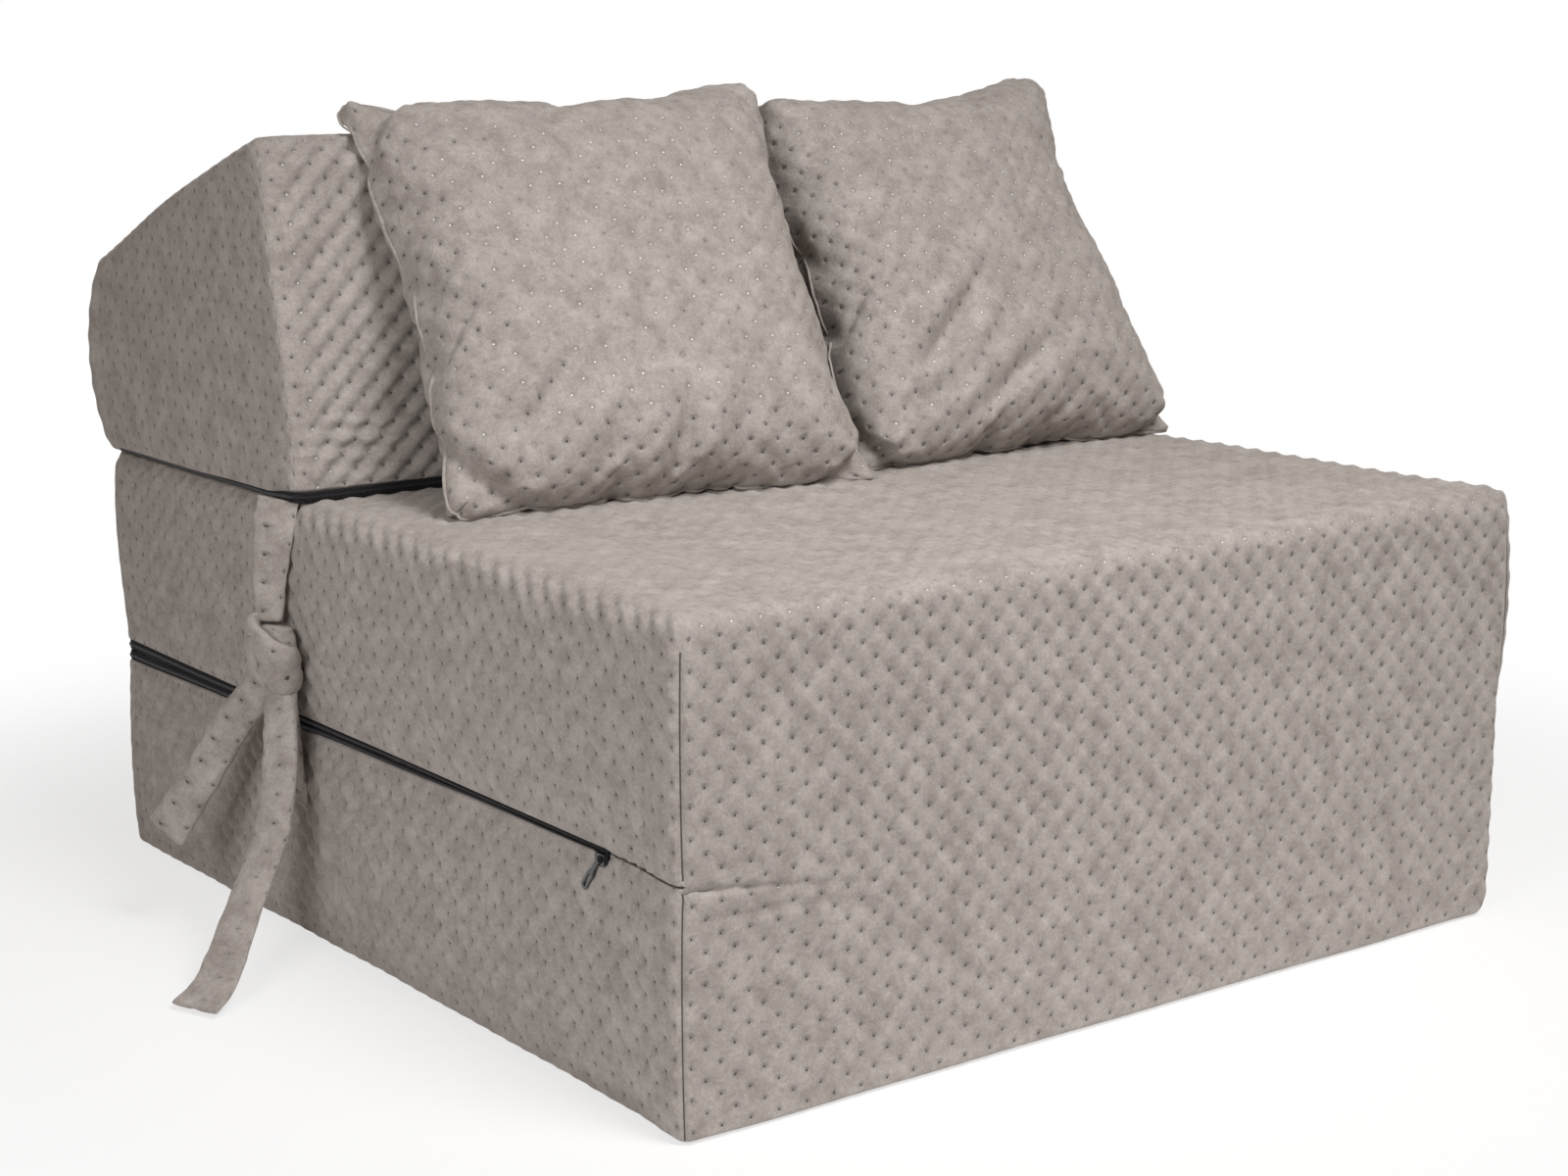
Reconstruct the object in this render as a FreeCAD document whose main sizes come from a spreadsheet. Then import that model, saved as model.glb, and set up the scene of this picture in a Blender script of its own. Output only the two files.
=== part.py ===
import FreeCAD, Part
import os
import Sketcher

# Folding foam chair bed: two stacked blocks, a wedge backrest and two loose pillows.
# Millimetres, +Z up, the front face towards -Y, +X to the right as one faces that front.
# The origin is the centre of the base block's underside.

Vector = FreeCAD.Vector
doc = FreeCAD.newDocument("ChairBed")

# Driving dimensions

sizes = {
    # the two blocks
    "width": 800,             # across both blocks and the backrest
    "depth": 850,             # front fold to rear fold
    "layer": 175,             # height of one block
    "sideCrown": 8,           # how far a block's left and right sides swell
    "cornerRadius": 18,       # upright corners
    "footRadius": 14,         # lower edges of the base
    "seatRadius": 18,         # upper edges of the seat
    "partingRadius": 1.2,     # side and rear edges where two pieces meet
    "foldRadius": 2.5,        # edges beside a fold
    "foldGap": 0.3,           # from each piece to the plane where two pieces meet
    # the backrest
    "wedgeDepth": 340,
    "wedgeHeight": 272,
    "wedgeRear": 158,         # height of its rear face
    "wedgeSetback": 48,       # the front face leans back this far
    "wedgeCrown": 6,          # swell of its front and sloping faces
    # covers and foam
    "wall": 4,                # quilted fabric
    "foamGap": 0.5,
    # zips
    "zipHeight": 7,
    "zipThick": 1.5,
    "zipOffset": 5,           # middle of the band from the meeting plane, on the blocks
    "wedgeZipOffset": 5,
    "zipRecess": 0.4,         # band below the fabric round it
    "zipFit": 0.1,
    "zipCorner": 7,           # outer bend of the band at a block's rear corners
    "zipEnd": 12,             # from the front or rear face to the band's ends
    "cutterReach": 5,         # how far a groove's cutter stands clear of the fabric
    # sliders and pulls
    "sliderLong": 11,
    "sliderHigh": 8.5,
    "sliderThick": 3.6,
    "neckLong": 8,
    "sliderGap": 0.3,         # running gap to the band and the fabric
    "sliderStart": 99,        # from the front face to the base's slider
    "wedgeSliderStart": 40,   # from the rear face to the backrest's slider
    "studRadius": 1.1,
    "studHead": 1.9,
    "headThick": 0.7,
    "eyeFit": 0.1,
    "pullLong": 30,
    "pullWide": 6.4,
    "pullThick": 1.4,
    "pullEye": 1.5,           # metal round the eye
    "pullSlot": 12,
    "pullRim": 1.9,           # metal beside the slot
    "pullFoot": 2.4,          # and below it
    "pullGap": 0.2,
    "pullTilt": 38,           # degrees that the base's pull leans to the rear
    # fold seams
    "seamRadius": 0.6,
    # ties
    "tieWide": 34,
    "tieThick": 5,
    "tieClear": 2.4,          # from a block's side to a tie that hangs past it
    "tieInset": 20,           # middle of the upper strap behind the backrest's front face
    "tieShift": 13,           # the knot hangs nearer the front than that, by this much
    "tieGap": 1.8,            # upper strap to the knot, and either tie to what it's sewn on
    "knotHigh": 48,
    "knotWide": 46,
    "knotThick": 27,
    "knotLevel": 229,         # height of the knot's middle
    # pillows
    "pillowSide": 350,        # corner to corner along a filled pillow's edge
    "pillowHalf": 50,         # seam plane to the top of the crown
    "pillowDraw": 12,         # how far each edge pulls in between its corners
    "pillowWall": 2,
    "pillowGap": 0.8,         # fabric to filling
    "pillowLift": 0.5,        # lowest corners above the seat's top
    "leftPillowX": -148,      # middle of the left pillow
    "pillowSpace": 4,         # between the two at the seams
    "leftPillowRest": 8.8,    # level, from its back to the corner of the backrest's outline
    "leftPillowTurn": -7,     # degrees about the upright
    "leftPillowLean": 31,     # degrees leaning back
    "rightPillowRest": 1,
    "rightPillowTurn": 2,
    "rightPillowLean": 30,
}

sheet = doc.addObject("Spreadsheet::Sheet", "Sizes")
for row, (name, number) in enumerate(sizes.items(), start=1):
    sheet.set(f"A{row}", name)
    sheet.set(f"B{row}", str(number))
    sheet.setAlias(f"B{row}", name)
doc.recompute()


def size(name):
    return float(getattr(sheet, name))


def value(expression):
    """What an expression comes to, as a plain number."""
    found = sheet.evalExpression(str(expression))
    return float(getattr(found, "Value", found))


# Levels and faces, as expressions on the sheet

SEAT_FLOOR = "Sizes.layer"
SEAT_TOP = "(2 * Sizes.layer)"
FRONT = "(-Sizes.depth / 2)"
REAR = "(Sizes.depth / 2)"
HALF_WIDTH = "(Sizes.width / 2)"
WEDGE_FRONT = f"({REAR} - Sizes.wedgeDepth)"

# How much the backrest's front face leans, and its top slopes, as tangents and secants
LEAN = "(Sizes.wedgeSetback / Sizes.wedgeHeight)"
SLOPE = "((Sizes.wedgeHeight - Sizes.wedgeRear) / (Sizes.wedgeDepth - Sizes.wedgeSetback))"
LEAN_SECANT = f"sqrt(1 + pow({LEAN}; 2))"
SLOPE_SECANT = f"sqrt(1 + pow({SLOPE}; 2))"

PLANES = {"X": "YZ_Plane", "Y": "XZ_Plane", "Z": "XY_Plane"}


# Helpers: outlines, prisms and shaped bodies

def outline(body, name, across, corners, crowns=None):
    """A closed sketch square to one axis. A side with a crown is an arc that swells outwards."""
    sketch = body.newObject("Sketcher::SketchObject", name)
    plane = next(f for f in body.Origin.OriginFeatures if f.Role == PLANES[across])
    sketch.AttachmentSupport = [(plane, "")]
    sketch.MapMode = "FlatFace"
    points = [Vector(value(u), value(v), 0) for u, v in corners]
    middle = sum(points, Vector()) * (1 / len(points))
    crowns = crowns or [None] * len(points)
    ends = []
    for i, (start, crown) in enumerate(zip(points, crowns)):
        end = points[(i + 1) % len(points)]
        if crown is None:
            edge = sketch.addGeometry(Part.LineSegment(start, end))
        else:
            chord = (end - start).normalize()
            outward = Vector(chord.y, -chord.x, 0)
            if outward.dot(start - middle) < 0:
                outward = -outward
            top = (start + end) * 0.5 + outward * value(crown)
            edge = sketch.addGeometry(Part.Arc(start, top, end))
        near = (sketch.getPoint(edge, 1) - start).Length < (sketch.getPoint(edge, 2) - start).Length
        ends.append((1, 2) if near else (2, 1))
    for i in range(len(points)):
        after = (i + 1) % len(points)
        sketch.addConstraint(Sketcher.Constraint("Coincident", i, ends[i][1], after, ends[after][0]))
    for i, (u, v) in enumerate(corners):
        for kind, place, expression in (("DistanceX", points[i].x, u), ("DistanceY", points[i].y, v)):
            made = sketch.addConstraint(Sketcher.Constraint(kind, -1, 1, i, ends[i][0], place))
            sketch.setExpression(f"Constraints[{made}]", str(expression))
        if crowns[i] is not None:
            far_u, far_v = corners[(i + 1) % len(points)]
            half_chord = f"(pow({far_u} - ({u}); 2) + pow({far_v} - ({v}); 2)) / 4"
            radius = f"({half_chord} + pow({crowns[i]}; 2)) / (2 * {crowns[i]})"
            made = sketch.addConstraint(Sketcher.Constraint("Radius", i, value(radius)))
            sketch.setExpression(f"Constraints[{made}]", radius)
    return sketch


def edges_through(shape, across, points):
    """Names of the straight edges along an axis that pass through the given outline corners."""
    found = []
    for number, edge in enumerate(shape.Edges, start=1):
        if not isinstance(edge.Curve, Part.Line):
            continue
        way = edge.Curve.Direction
        if abs(getattr(way, across.lower())) < 0.999:
            continue
        at = edge.Vertexes[0].Point
        flat = {"X": (at.y, at.z), "Y": (at.x, at.z), "Z": (at.x, at.y)}[across]
        if any(abs(flat[0] - u) < 0.01 and abs(flat[1] - v) < 0.01 for u, v in points):
            found.append(f"Edge{number}")
    return found


def rounded(body, edges, radius):
    """Rounds the named edges of what the body has so far."""
    before = body.Tip
    rounding = body.newObject("PartDesign::Fillet", f"{body.Name}Round")
    rounding.Base = (before, edges)
    rounding.setExpression("Radius", radius)
    body.Tip = rounding
    doc.recompute()


def prism(name, across, corners, length, radii=None, crowns=None):
    """A body padded both ways along one axis, with a radius of its own at each long edge."""
    body = doc.addObject("PartDesign::Body", name)
    pad = body.newObject("PartDesign::Pad", f"{name}Pad")
    pad.Profile = outline(body, f"{name}Outline", across, corners, crowns)
    pad.SideType = "Symmetric"
    pad.setExpression("Length", str(length))
    body.Tip = pad
    doc.recompute()
    for radius in sorted({r for r in radii or [] if r is not None}):
        places = [(value(u), value(v)) for (u, v), r in zip(corners, radii) if r == radius]
        rounded(body, edges_through(body.Tip.Shape, across, places), radius)
    return body


def combine(kind, name, base, tool):
    """One Part boolean of two objects."""
    made = doc.addObject(f"Part::{kind}", name)
    made.Base = base
    made.Tool = tool
    return made


def block(name, low, high, inset, foot, top, rear_top):
    """One crowned foam block: what its front, side and plan outlines have in common."""
    half = f"({HALF_WIDTH} - ({inset}))"
    edge = f"({half} - Sizes.sideCrown)"
    front = f"({FRONT} + Sizes.foldGap + {inset})"
    rear = f"({REAR} - Sizes.foldGap - ({inset}))"
    low = f"({low} + {inset})"
    high = f"({high} - ({inset}))"

    def less(radius):
        return None if radius is None else f"{radius} - ({inset})"

    seen_from_front = prism(
        f"{name}Front", "Y", [(f"-{edge}", low), (edge, low), (edge, high), (f"-{edge}", high)],
        "2 * Sizes.depth", [less(foot[1]), less(foot[1]), less(top[1]), less(top[1])],
        [None, "Sizes.sideCrown", None, "Sizes.sideCrown"])
    seen_from_side = prism(
        f"{name}Side", "X", [(front, low), (rear, low), (rear, high), (front, high)],
        "2 * Sizes.width", [less(foot[0]), less(foot[1]), less(rear_top), less(top[0])])
    seen_from_above = prism(
        f"{name}Plan", "Z", [(f"-{half}", front), (half, front), (half, rear), (f"-{half}", rear)],
        "8 * Sizes.layer", [less("Sizes.cornerRadius")] * 4)
    profile = combine("Common", f"{name}Profile", seen_from_front, seen_from_side)
    return combine("Common", f"{name}Form", profile, seen_from_above)


def wedge(name, inset, bottom_radius):
    """The backrest: its side outline padded across, then rounded along every edge."""
    corners = [
        (f"({WEDGE_FRONT} + ({inset}) * ({LEAN_SECANT} + {LEAN}))",
         f"({SEAT_TOP} + Sizes.foldGap + {inset})"),
        (f"({REAR} - Sizes.foldGap - ({inset}))",
         f"({SEAT_TOP} + Sizes.foldGap + {inset})"),
        (f"({REAR} - Sizes.foldGap - ({inset}))",
         f"({SEAT_TOP} + Sizes.wedgeRear - ({inset}) * ({SLOPE_SECANT} - {SLOPE}))"),
        (f"({WEDGE_FRONT} + Sizes.wedgeSetback"
         f" + ({inset}) * ({LEAN_SECANT} - {LEAN} * {SLOPE_SECANT}) / (1 + {LEAN} * {SLOPE}))",
         f"({SEAT_TOP} + Sizes.wedgeHeight - ({inset}) * ({SLOPE_SECANT}"
         f" + {SLOPE} * ({LEAN_SECANT} - {LEAN} * {SLOPE_SECANT}) / (1 + {LEAN} * {SLOPE})))"),
    ]
    body = prism(f"{name}Form", "X", corners, f"Sizes.width - 2 * ({inset})", None,
                 [None, None, "Sizes.wedgeCrown", "Sizes.wedgeCrown"])
    floor = value(corners[0][1])
    upper = [f"Edge{n}" for n, edge in enumerate(body.Tip.Shape.Edges, start=1)
             if edge.BoundBox.ZMax > floor + 1]
    rounded(body, upper, f"Sizes.cornerRadius - ({inset})")
    if bottom_radius:
        lower = [f"Edge{n}" for n, edge in enumerate(body.Tip.Shape.Edges, start=1)
                 if edge.BoundBox.ZMax < floor + 0.01]
        rounded(body, lower, bottom_radius)
    return body


def band(name, level, high, outer, inner, tips, closed_at):
    """A U-shaped strip round three sides of a piece, with its open end away from closed_at.

    outer and inner each hold a distance in from the side, the far end, and the bend's radius.
    """
    body = doc.addObject("PartDesign::Body", name)
    u = f"({HALF_WIDTH} - ({outer[0]}))"
    inner_u = f"({HALF_WIDTH} - ({inner[0]}))"
    open_way = "-" if closed_at == "rear" else "+"
    beyond = f"({tips} {open_way} Sizes.cutterReach)"
    pad = body.newObject("PartDesign::Pad", f"{name}Pad")
    pad.Profile = outline(body, f"{name}Outline", "Z",
                          [(f"-{u}", tips), (u, tips), (u, outer[1]), (f"-{u}", outer[1])])
    pad.SideType = "Symmetric"
    pad.setExpression("Length", high)
    pocket = body.newObject("PartDesign::Pocket", f"{name}Pocket")
    pocket.Profile = outline(body, f"{name}Inside", "Z",
                             [(f"-{inner_u}", beyond), (inner_u, beyond),
                              (inner_u, inner[1]), (f"-{inner_u}", inner[1])])
    pocket.SideType = "Symmetric"
    pocket.setExpression("Length", f"2 * ({high})")
    body.Tip = pocket
    doc.recompute()
    for side, end, radius in ((u, *outer[1:]), (inner_u, *inner[1:])):
        places = [(value(side), value(end)), (-value(side), value(end))]
        rounded(body, edges_through(body.Tip.Shape, "Z", places), radius)
    body.setExpression("Placement.Base.z", level)
    return body


def finished(made, label):
    """Gives a sub-part the name that its file has."""
    made.Label = label
    sub_parts.append(made)
    return made


sub_parts = []


# Covers, foam and zips of the two blocks

def side_inset(level_from_fold):
    """How far a block's crowned side has drawn in, at a height measured from the meeting plane."""
    rise = f"((Sizes.layer / 2 - ({level_from_fold})) / (Sizes.layer / 2))"
    return f"(Sizes.sideCrown * pow({rise}; 2))"


BAND_SIDE = f"({side_inset('Sizes.zipOffset - Sizes.zipHeight / 2')} + Sizes.zipRecess)"
BAND_REAR = f"({REAR} - Sizes.foldGap - Sizes.zipRecess)"
BAND_TIPS = f"({FRONT} + Sizes.zipEnd)"


def block_with_zip(name, low, high, zip_level, foot, top, rear_top):
    outer = block(f"{name}Outer", low, high, "0", foot, top, rear_top)
    hollow = block(f"{name}Hollow", low, high, "Sizes.wall",
                   inner_radii(foot), inner_radii(top), None)
    shell = combine("Cut", f"{name}Shell", outer, hollow)
    groove = band(f"{name}Groove", zip_level, "Sizes.zipHeight + 2 * Sizes.zipFit",
                  ("-Sizes.cutterReach", f"({REAR} + Sizes.cutterReach)", "Sizes.zipCorner"),
                  (f"{BAND_SIDE} + Sizes.zipThick + Sizes.zipFit",
                   f"({BAND_REAR} - Sizes.zipThick - Sizes.zipFit)",
                   "Sizes.zipCorner - Sizes.zipThick - Sizes.zipFit"),
                  f"({BAND_TIPS} - Sizes.zipFit)", "rear")
    finished(combine("Cut", f"{name}Cover", shell, groove), f"{name}_cover")
    finished(block(f"{name}Foam", low, high, "Sizes.wall + Sizes.foamGap",
                   inner_radii(foot), inner_radii(top), None), f"{name}_foam")
    finished(band(f"{name}Zip", zip_level, "Sizes.zipHeight",
                  (BAND_SIDE, BAND_REAR, "Sizes.zipCorner"),
                  (f"{BAND_SIDE} + Sizes.zipThick", f"({BAND_REAR} - Sizes.zipThick)",
                   "Sizes.zipCorner - Sizes.zipThick"),
                  BAND_TIPS, "rear"), f"{name}_zip")


def inner_radii(pair):
    """Small radii vanish on the inside of the cover."""
    small = ("Sizes.foldRadius", "Sizes.partingRadius")
    return tuple(None if radius in small else radius for radius in pair)


block_with_zip("base", "0", f"({SEAT_FLOOR} - Sizes.foldGap)",
               f"{SEAT_FLOOR} - Sizes.zipOffset",
               ("Sizes.footRadius", "Sizes.footRadius"),
               ("Sizes.foldRadius", "Sizes.partingRadius"), "Sizes.partingRadius")
block_with_zip("seat", f"({SEAT_FLOOR} + Sizes.foldGap)", f"({SEAT_TOP} - Sizes.foldGap)",
               f"{SEAT_FLOOR} + Sizes.zipOffset",
               ("Sizes.foldRadius", "Sizes.partingRadius"),
               ("Sizes.seatRadius", "Sizes.seatRadius"), "Sizes.foldRadius")

# The backrest's cover, foam and zip

WEDGE_ZIP_LEVEL = f"{SEAT_TOP} + Sizes.wedgeZipOffset"
WEDGE_BAND_FRONT = (f"({WEDGE_FRONT} + {LEAN} * (Sizes.wedgeZipOffset + Sizes.zipHeight / 2)"
                    " + Sizes.zipRecess)")
WEDGE_BAND_TIPS = f"({REAR} - Sizes.zipEnd)"

wedge_shell = combine("Cut", "backrestShell", wedge("backrestOuter", "0", "Sizes.partingRadius"),
                      wedge("backrestHollow", "Sizes.wall", None))
wedge_groove = band("backrestGroove", WEDGE_ZIP_LEVEL, "Sizes.zipHeight + 2 * Sizes.zipFit",
                    ("-Sizes.cutterReach", f"({WEDGE_FRONT} - Sizes.cutterReach)", "Sizes.cornerRadius"),
                    ("Sizes.zipRecess + Sizes.zipThick + Sizes.zipFit",
                     f"({WEDGE_BAND_FRONT} + Sizes.zipThick + Sizes.zipFit)",
                     "Sizes.cornerRadius - Sizes.zipRecess - Sizes.zipThick - Sizes.zipFit"),
                    f"({WEDGE_BAND_TIPS} + Sizes.zipFit)", "front")
finished(combine("Cut", "backrestCover", wedge_shell, wedge_groove), "backrest_cover")
finished(wedge("backrestFoam", "Sizes.wall + Sizes.foamGap", None), "backrest_foam")
finished(band("backrestZip", WEDGE_ZIP_LEVEL, "Sizes.zipHeight",
              ("Sizes.zipRecess", WEDGE_BAND_FRONT, "Sizes.cornerRadius - Sizes.zipRecess"),
              ("Sizes.zipRecess + Sizes.zipThick", f"({WEDGE_BAND_FRONT} + Sizes.zipThick)",
               "Sizes.cornerRadius - Sizes.zipRecess - Sizes.zipThick"),
              WEDGE_BAND_TIPS, "front"), "backrest_zip")


# Fold seams: the sewn lines that the pieces turn about

def fold_seam(label, y, z):
    seam = doc.addObject("Part::Cylinder", label)
    seam.setExpression("Radius", "Sizes.seamRadius")
    seam.setExpression("Height", "Sizes.width - 2 * Sizes.cornerRadius - 2 * Sizes.sideCrown")
    seam.Placement = FreeCAD.Placement(Vector(), FreeCAD.Rotation(Vector(0, 1, 0), 90))
    seam.setExpression("Placement.Base.x", "-Height / 2")
    seam.setExpression("Placement.Base.y", y)
    seam.setExpression("Placement.Base.z", z)
    finished(seam, label)


fold_seam("front_fold_seam", FRONT, SEAT_FLOOR)
fold_seam("rear_fold_seam", REAR, SEAT_TOP)


# Zip sliders and their pulls

def box(name, long_x, long_y, long_z, x, y, z):
    """A box from its middle and its three lengths."""
    made = doc.addObject("Part::Box", name)
    for prop, way, length, middle in (("Length", "x", long_x, x), ("Width", "y", long_y, y),
                                      ("Height", "z", long_z, z)):
        made.setExpression(prop, length)
        made.setExpression(f"Placement.Base.{way}", f"({middle}) - ({length}) / 2")
    return made


def disc(name, radius, thick, x, y, z):
    """A cylinder along X, from its middle."""
    made = doc.addObject("Part::Cylinder", name)
    made.Placement = FreeCAD.Placement(Vector(), FreeCAD.Rotation(Vector(0, 1, 0), 90))
    made.setExpression("Radius", radius)
    made.setExpression("Height", thick)
    made.setExpression("Placement.Base.x", f"({x}) - ({thick}) / 2")
    made.setExpression("Placement.Base.y", y)
    made.setExpression("Placement.Base.z", z)
    return made


def slider(label, way, band_face, lip, y, z):
    """A slider outside the fabric's lips, its neck on the band, and a stud for its pull.

    band_face and lip are distances from the chair's middle plane, and way is 1 or -1.
    """
    inner = f"({lip} + Sizes.sliderGap)"
    outer = f"({inner} + Sizes.sliderThick)"
    reach = "(Sizes.pullThick + 2 * Sizes.pullGap)"
    half_long = "Sizes.sliderLong / 2"
    half_high = "Sizes.sliderHigh / 2"
    plate = prism(f"{label}_plate", "X",
                  [(f"-{half_long}", f"-{half_high}"), (half_long, f"-{half_high}"),
                   (half_long, half_high), (f"-{half_long}", half_high)],
                  "Sizes.sliderThick", ["Sizes.sliderHigh / 4"] * 4)
    plate.setExpression("Placement.Base.x", f"{way} * ({inner} + Sizes.sliderThick / 2)")
    plate.setExpression("Placement.Base.y", y)
    plate.setExpression("Placement.Base.z", z)
    neck_inner = f"({band_face} + Sizes.sliderGap)"
    neck = box(f"{label}_neck", f"{inner} - {neck_inner}", "Sizes.neckLong",
               "Sizes.zipHeight - 2 * Sizes.sliderGap",
               f"{way} * ({inner} + {neck_inner}) / 2", y, z)
    stud = disc(f"{label}_stud", "Sizes.studRadius", reach, f"{way} * ({outer} + {reach} / 2)", y, z)
    head = disc(f"{label}_head", "Sizes.studHead", "Sizes.headThick",
                f"{way} * ({outer} + {reach} + Sizes.headThick / 2)", y, z)
    whole = doc.addObject("Part::MultiFuse", label)
    whole.Shapes = [plate, neck, stud, head]
    finished(whole, label)
    return f"{way} * ({outer} + Sizes.pullGap + Sizes.pullThick / 2)"


def pull(label, x, y, z, tilt):
    """A flat tab that hangs from its eye on the stud, with a slot near its lower end."""
    eye = "(Sizes.studRadius + Sizes.eyeFit + Sizes.pullEye)"
    neck = "(Sizes.pullWide / 4)"
    half = "(Sizes.pullWide / 2)"
    waist = "(Sizes.pullLong / 3)"
    shoulder = "(Sizes.pullLong / 2)"
    tab = prism(f"{label}_tab", "X",
                [(f"-{neck}", "0"), (f"-{neck}", f"-{waist}"), (f"-{half}", f"-{shoulder}"),
                 (f"-{half}", "-Sizes.pullLong"), (half, "-Sizes.pullLong"),
                 (half, f"-{shoulder}"), (neck, f"-{waist}"), (neck, "0")],
                "Sizes.pullThick",
                [None, None, None, f"0.85 * {half}", f"0.85 * {half}", None, None, None])
    ring = disc(f"{label}_ring", eye, "Sizes.pullThick", "0", "0", "0")
    hole = disc(f"{label}_hole", "Sizes.studRadius + Sizes.eyeFit", "2 * Sizes.pullThick",
                "0", "0", "0")
    slot_half = f"({half} - Sizes.pullRim)"
    slot_low = "(Sizes.pullFoot - Sizes.pullLong)"
    slot_high = f"({slot_low} + Sizes.pullSlot)"
    slot = prism(f"{label}_slot", "X",
                 [(f"-{slot_half}", slot_low), (slot_half, slot_low),
                  (slot_half, slot_high), (f"-{slot_half}", slot_high)],
                 "2 * Sizes.pullThick", [f"0.9 * {slot_half}"] * 4)
    blank = combine("Fuse", f"{label}_blank", tab, ring)
    pierced = combine("Cut", f"{label}_pierced", blank, hole)
    whole = finished(combine("Cut", label, pierced, slot), label)
    whole.Placement = FreeCAD.Placement(Vector(), FreeCAD.Rotation(Vector(1, 0, 0), value(tilt)))
    for way, place in (("x", x), ("y", y), ("z", z)):
        whole.setExpression(f"Placement.Base.{way}", place)


BLOCK_BAND_FACE = f"({HALF_WIDTH} - {BAND_SIDE})"
BLOCK_LIP = f"({HALF_WIDTH} - {side_inset('Sizes.zipOffset + Sizes.sliderHigh / 2')})"
SLIDER_Y = f"{FRONT} + Sizes.sliderStart"
BASE_ZIP_Z = f"{SEAT_FLOOR} - Sizes.zipOffset"
SEAT_ZIP_Z = f"{SEAT_FLOOR} + Sizes.zipOffset"
WEDGE_SLIDER_Y = f"{REAR} - Sizes.wedgeSliderStart"

place = slider("base_zip_slider", -1, BLOCK_BAND_FACE, BLOCK_LIP, SLIDER_Y, BASE_ZIP_Z)
pull("base_zip_pull", place, SLIDER_Y, BASE_ZIP_Z, "Sizes.pullTilt")
place = slider("seat_zip_slider", 1, BLOCK_BAND_FACE, BLOCK_LIP, SLIDER_Y, SEAT_ZIP_Z)
pull("seat_zip_pull", place, SLIDER_Y, SEAT_ZIP_Z, "0")
place = slider("backrest_zip_slider", 1, f"({HALF_WIDTH} - Sizes.zipRecess)", HALF_WIDTH,
               WEDGE_SLIDER_Y, WEDGE_ZIP_LEVEL)
pull("backrest_zip_pull", place, WEDGE_SLIDER_Y, WEDGE_ZIP_LEVEL, "0")


# Ties: a strap from the backrest, and a second one from the base that holds the knot

def lens(middle, along, wide, thick, across):
    """A flat oval section square to a ribbon's run."""
    across = (across - along * across.dot(along)).normalize()
    normal = along.cross(across).normalize()
    edge = 0.22 * thick
    left = middle - across * (wide / 2)
    right = middle + across * (wide / 2)
    return Part.Wire([
        Part.LineSegment(left - normal * edge, left + normal * edge).toShape(),
        Part.Arc(left + normal * edge, middle + normal * (thick / 2), right + normal * edge).toShape(),
        Part.LineSegment(right + normal * edge, right - normal * edge).toShape(),
        Part.Arc(right - normal * edge, middle - normal * (thick / 2), left - normal * edge).toShape(),
    ])


def ribbon(side, stations, out_turn):
    """A soft flat strap lofted through its stations: out from the side, y, z, wide, thick."""
    middles = [Vector(side * (size("width") / 2 + out), y, z) for out, y, z, _, _ in stations]
    across = Vector(side * out_turn, 1, 0)
    wires = []
    for i, (_, _, _, wide, thick) in enumerate(stations):
        before = middles[max(i - 1, 0)]
        after = middles[min(i + 1, len(middles) - 1)]
        wires.append(lens(middles[i], (after - before).normalize(), wide, thick, across))
    return Part.makeLoft(wires, True, False)


def soft(label, shape):
    made = doc.addObject("Part::Feature", label)
    made.Shape = shape
    return finished(made, label)


def upper_tie(side, label):
    """Sewn under the backrest's front corner, and down the seat's side to the knot."""
    wide = size("tieWide")
    thick = size("tieThick")
    y = value(WEDGE_FRONT) + size("tieInset")
    root = 2 * size("layer") + thick
    end = size("knotLevel") + size("knotHigh") / 2 + size("tieGap")
    drop = root - end
    shift = size("tieShift")
    soft(label, ribbon(side, [
        (2.1, y, root, 0.88 * wide, 0.68 * thick),
        (5.2, y - 0.1 * shift, root - 0.17 * drop, wide, thick),
        (8.5, y - 0.3 * shift, root - 0.45 * drop, wide, 1.3 * thick),
        (11, y - 0.6 * shift, root - 0.75 * drop, 0.85 * wide, 1.4 * thick),
        (13, y - 0.85 * shift, end, 0.7 * wide, 1.6 * thick),
    ], 0.1))


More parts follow.
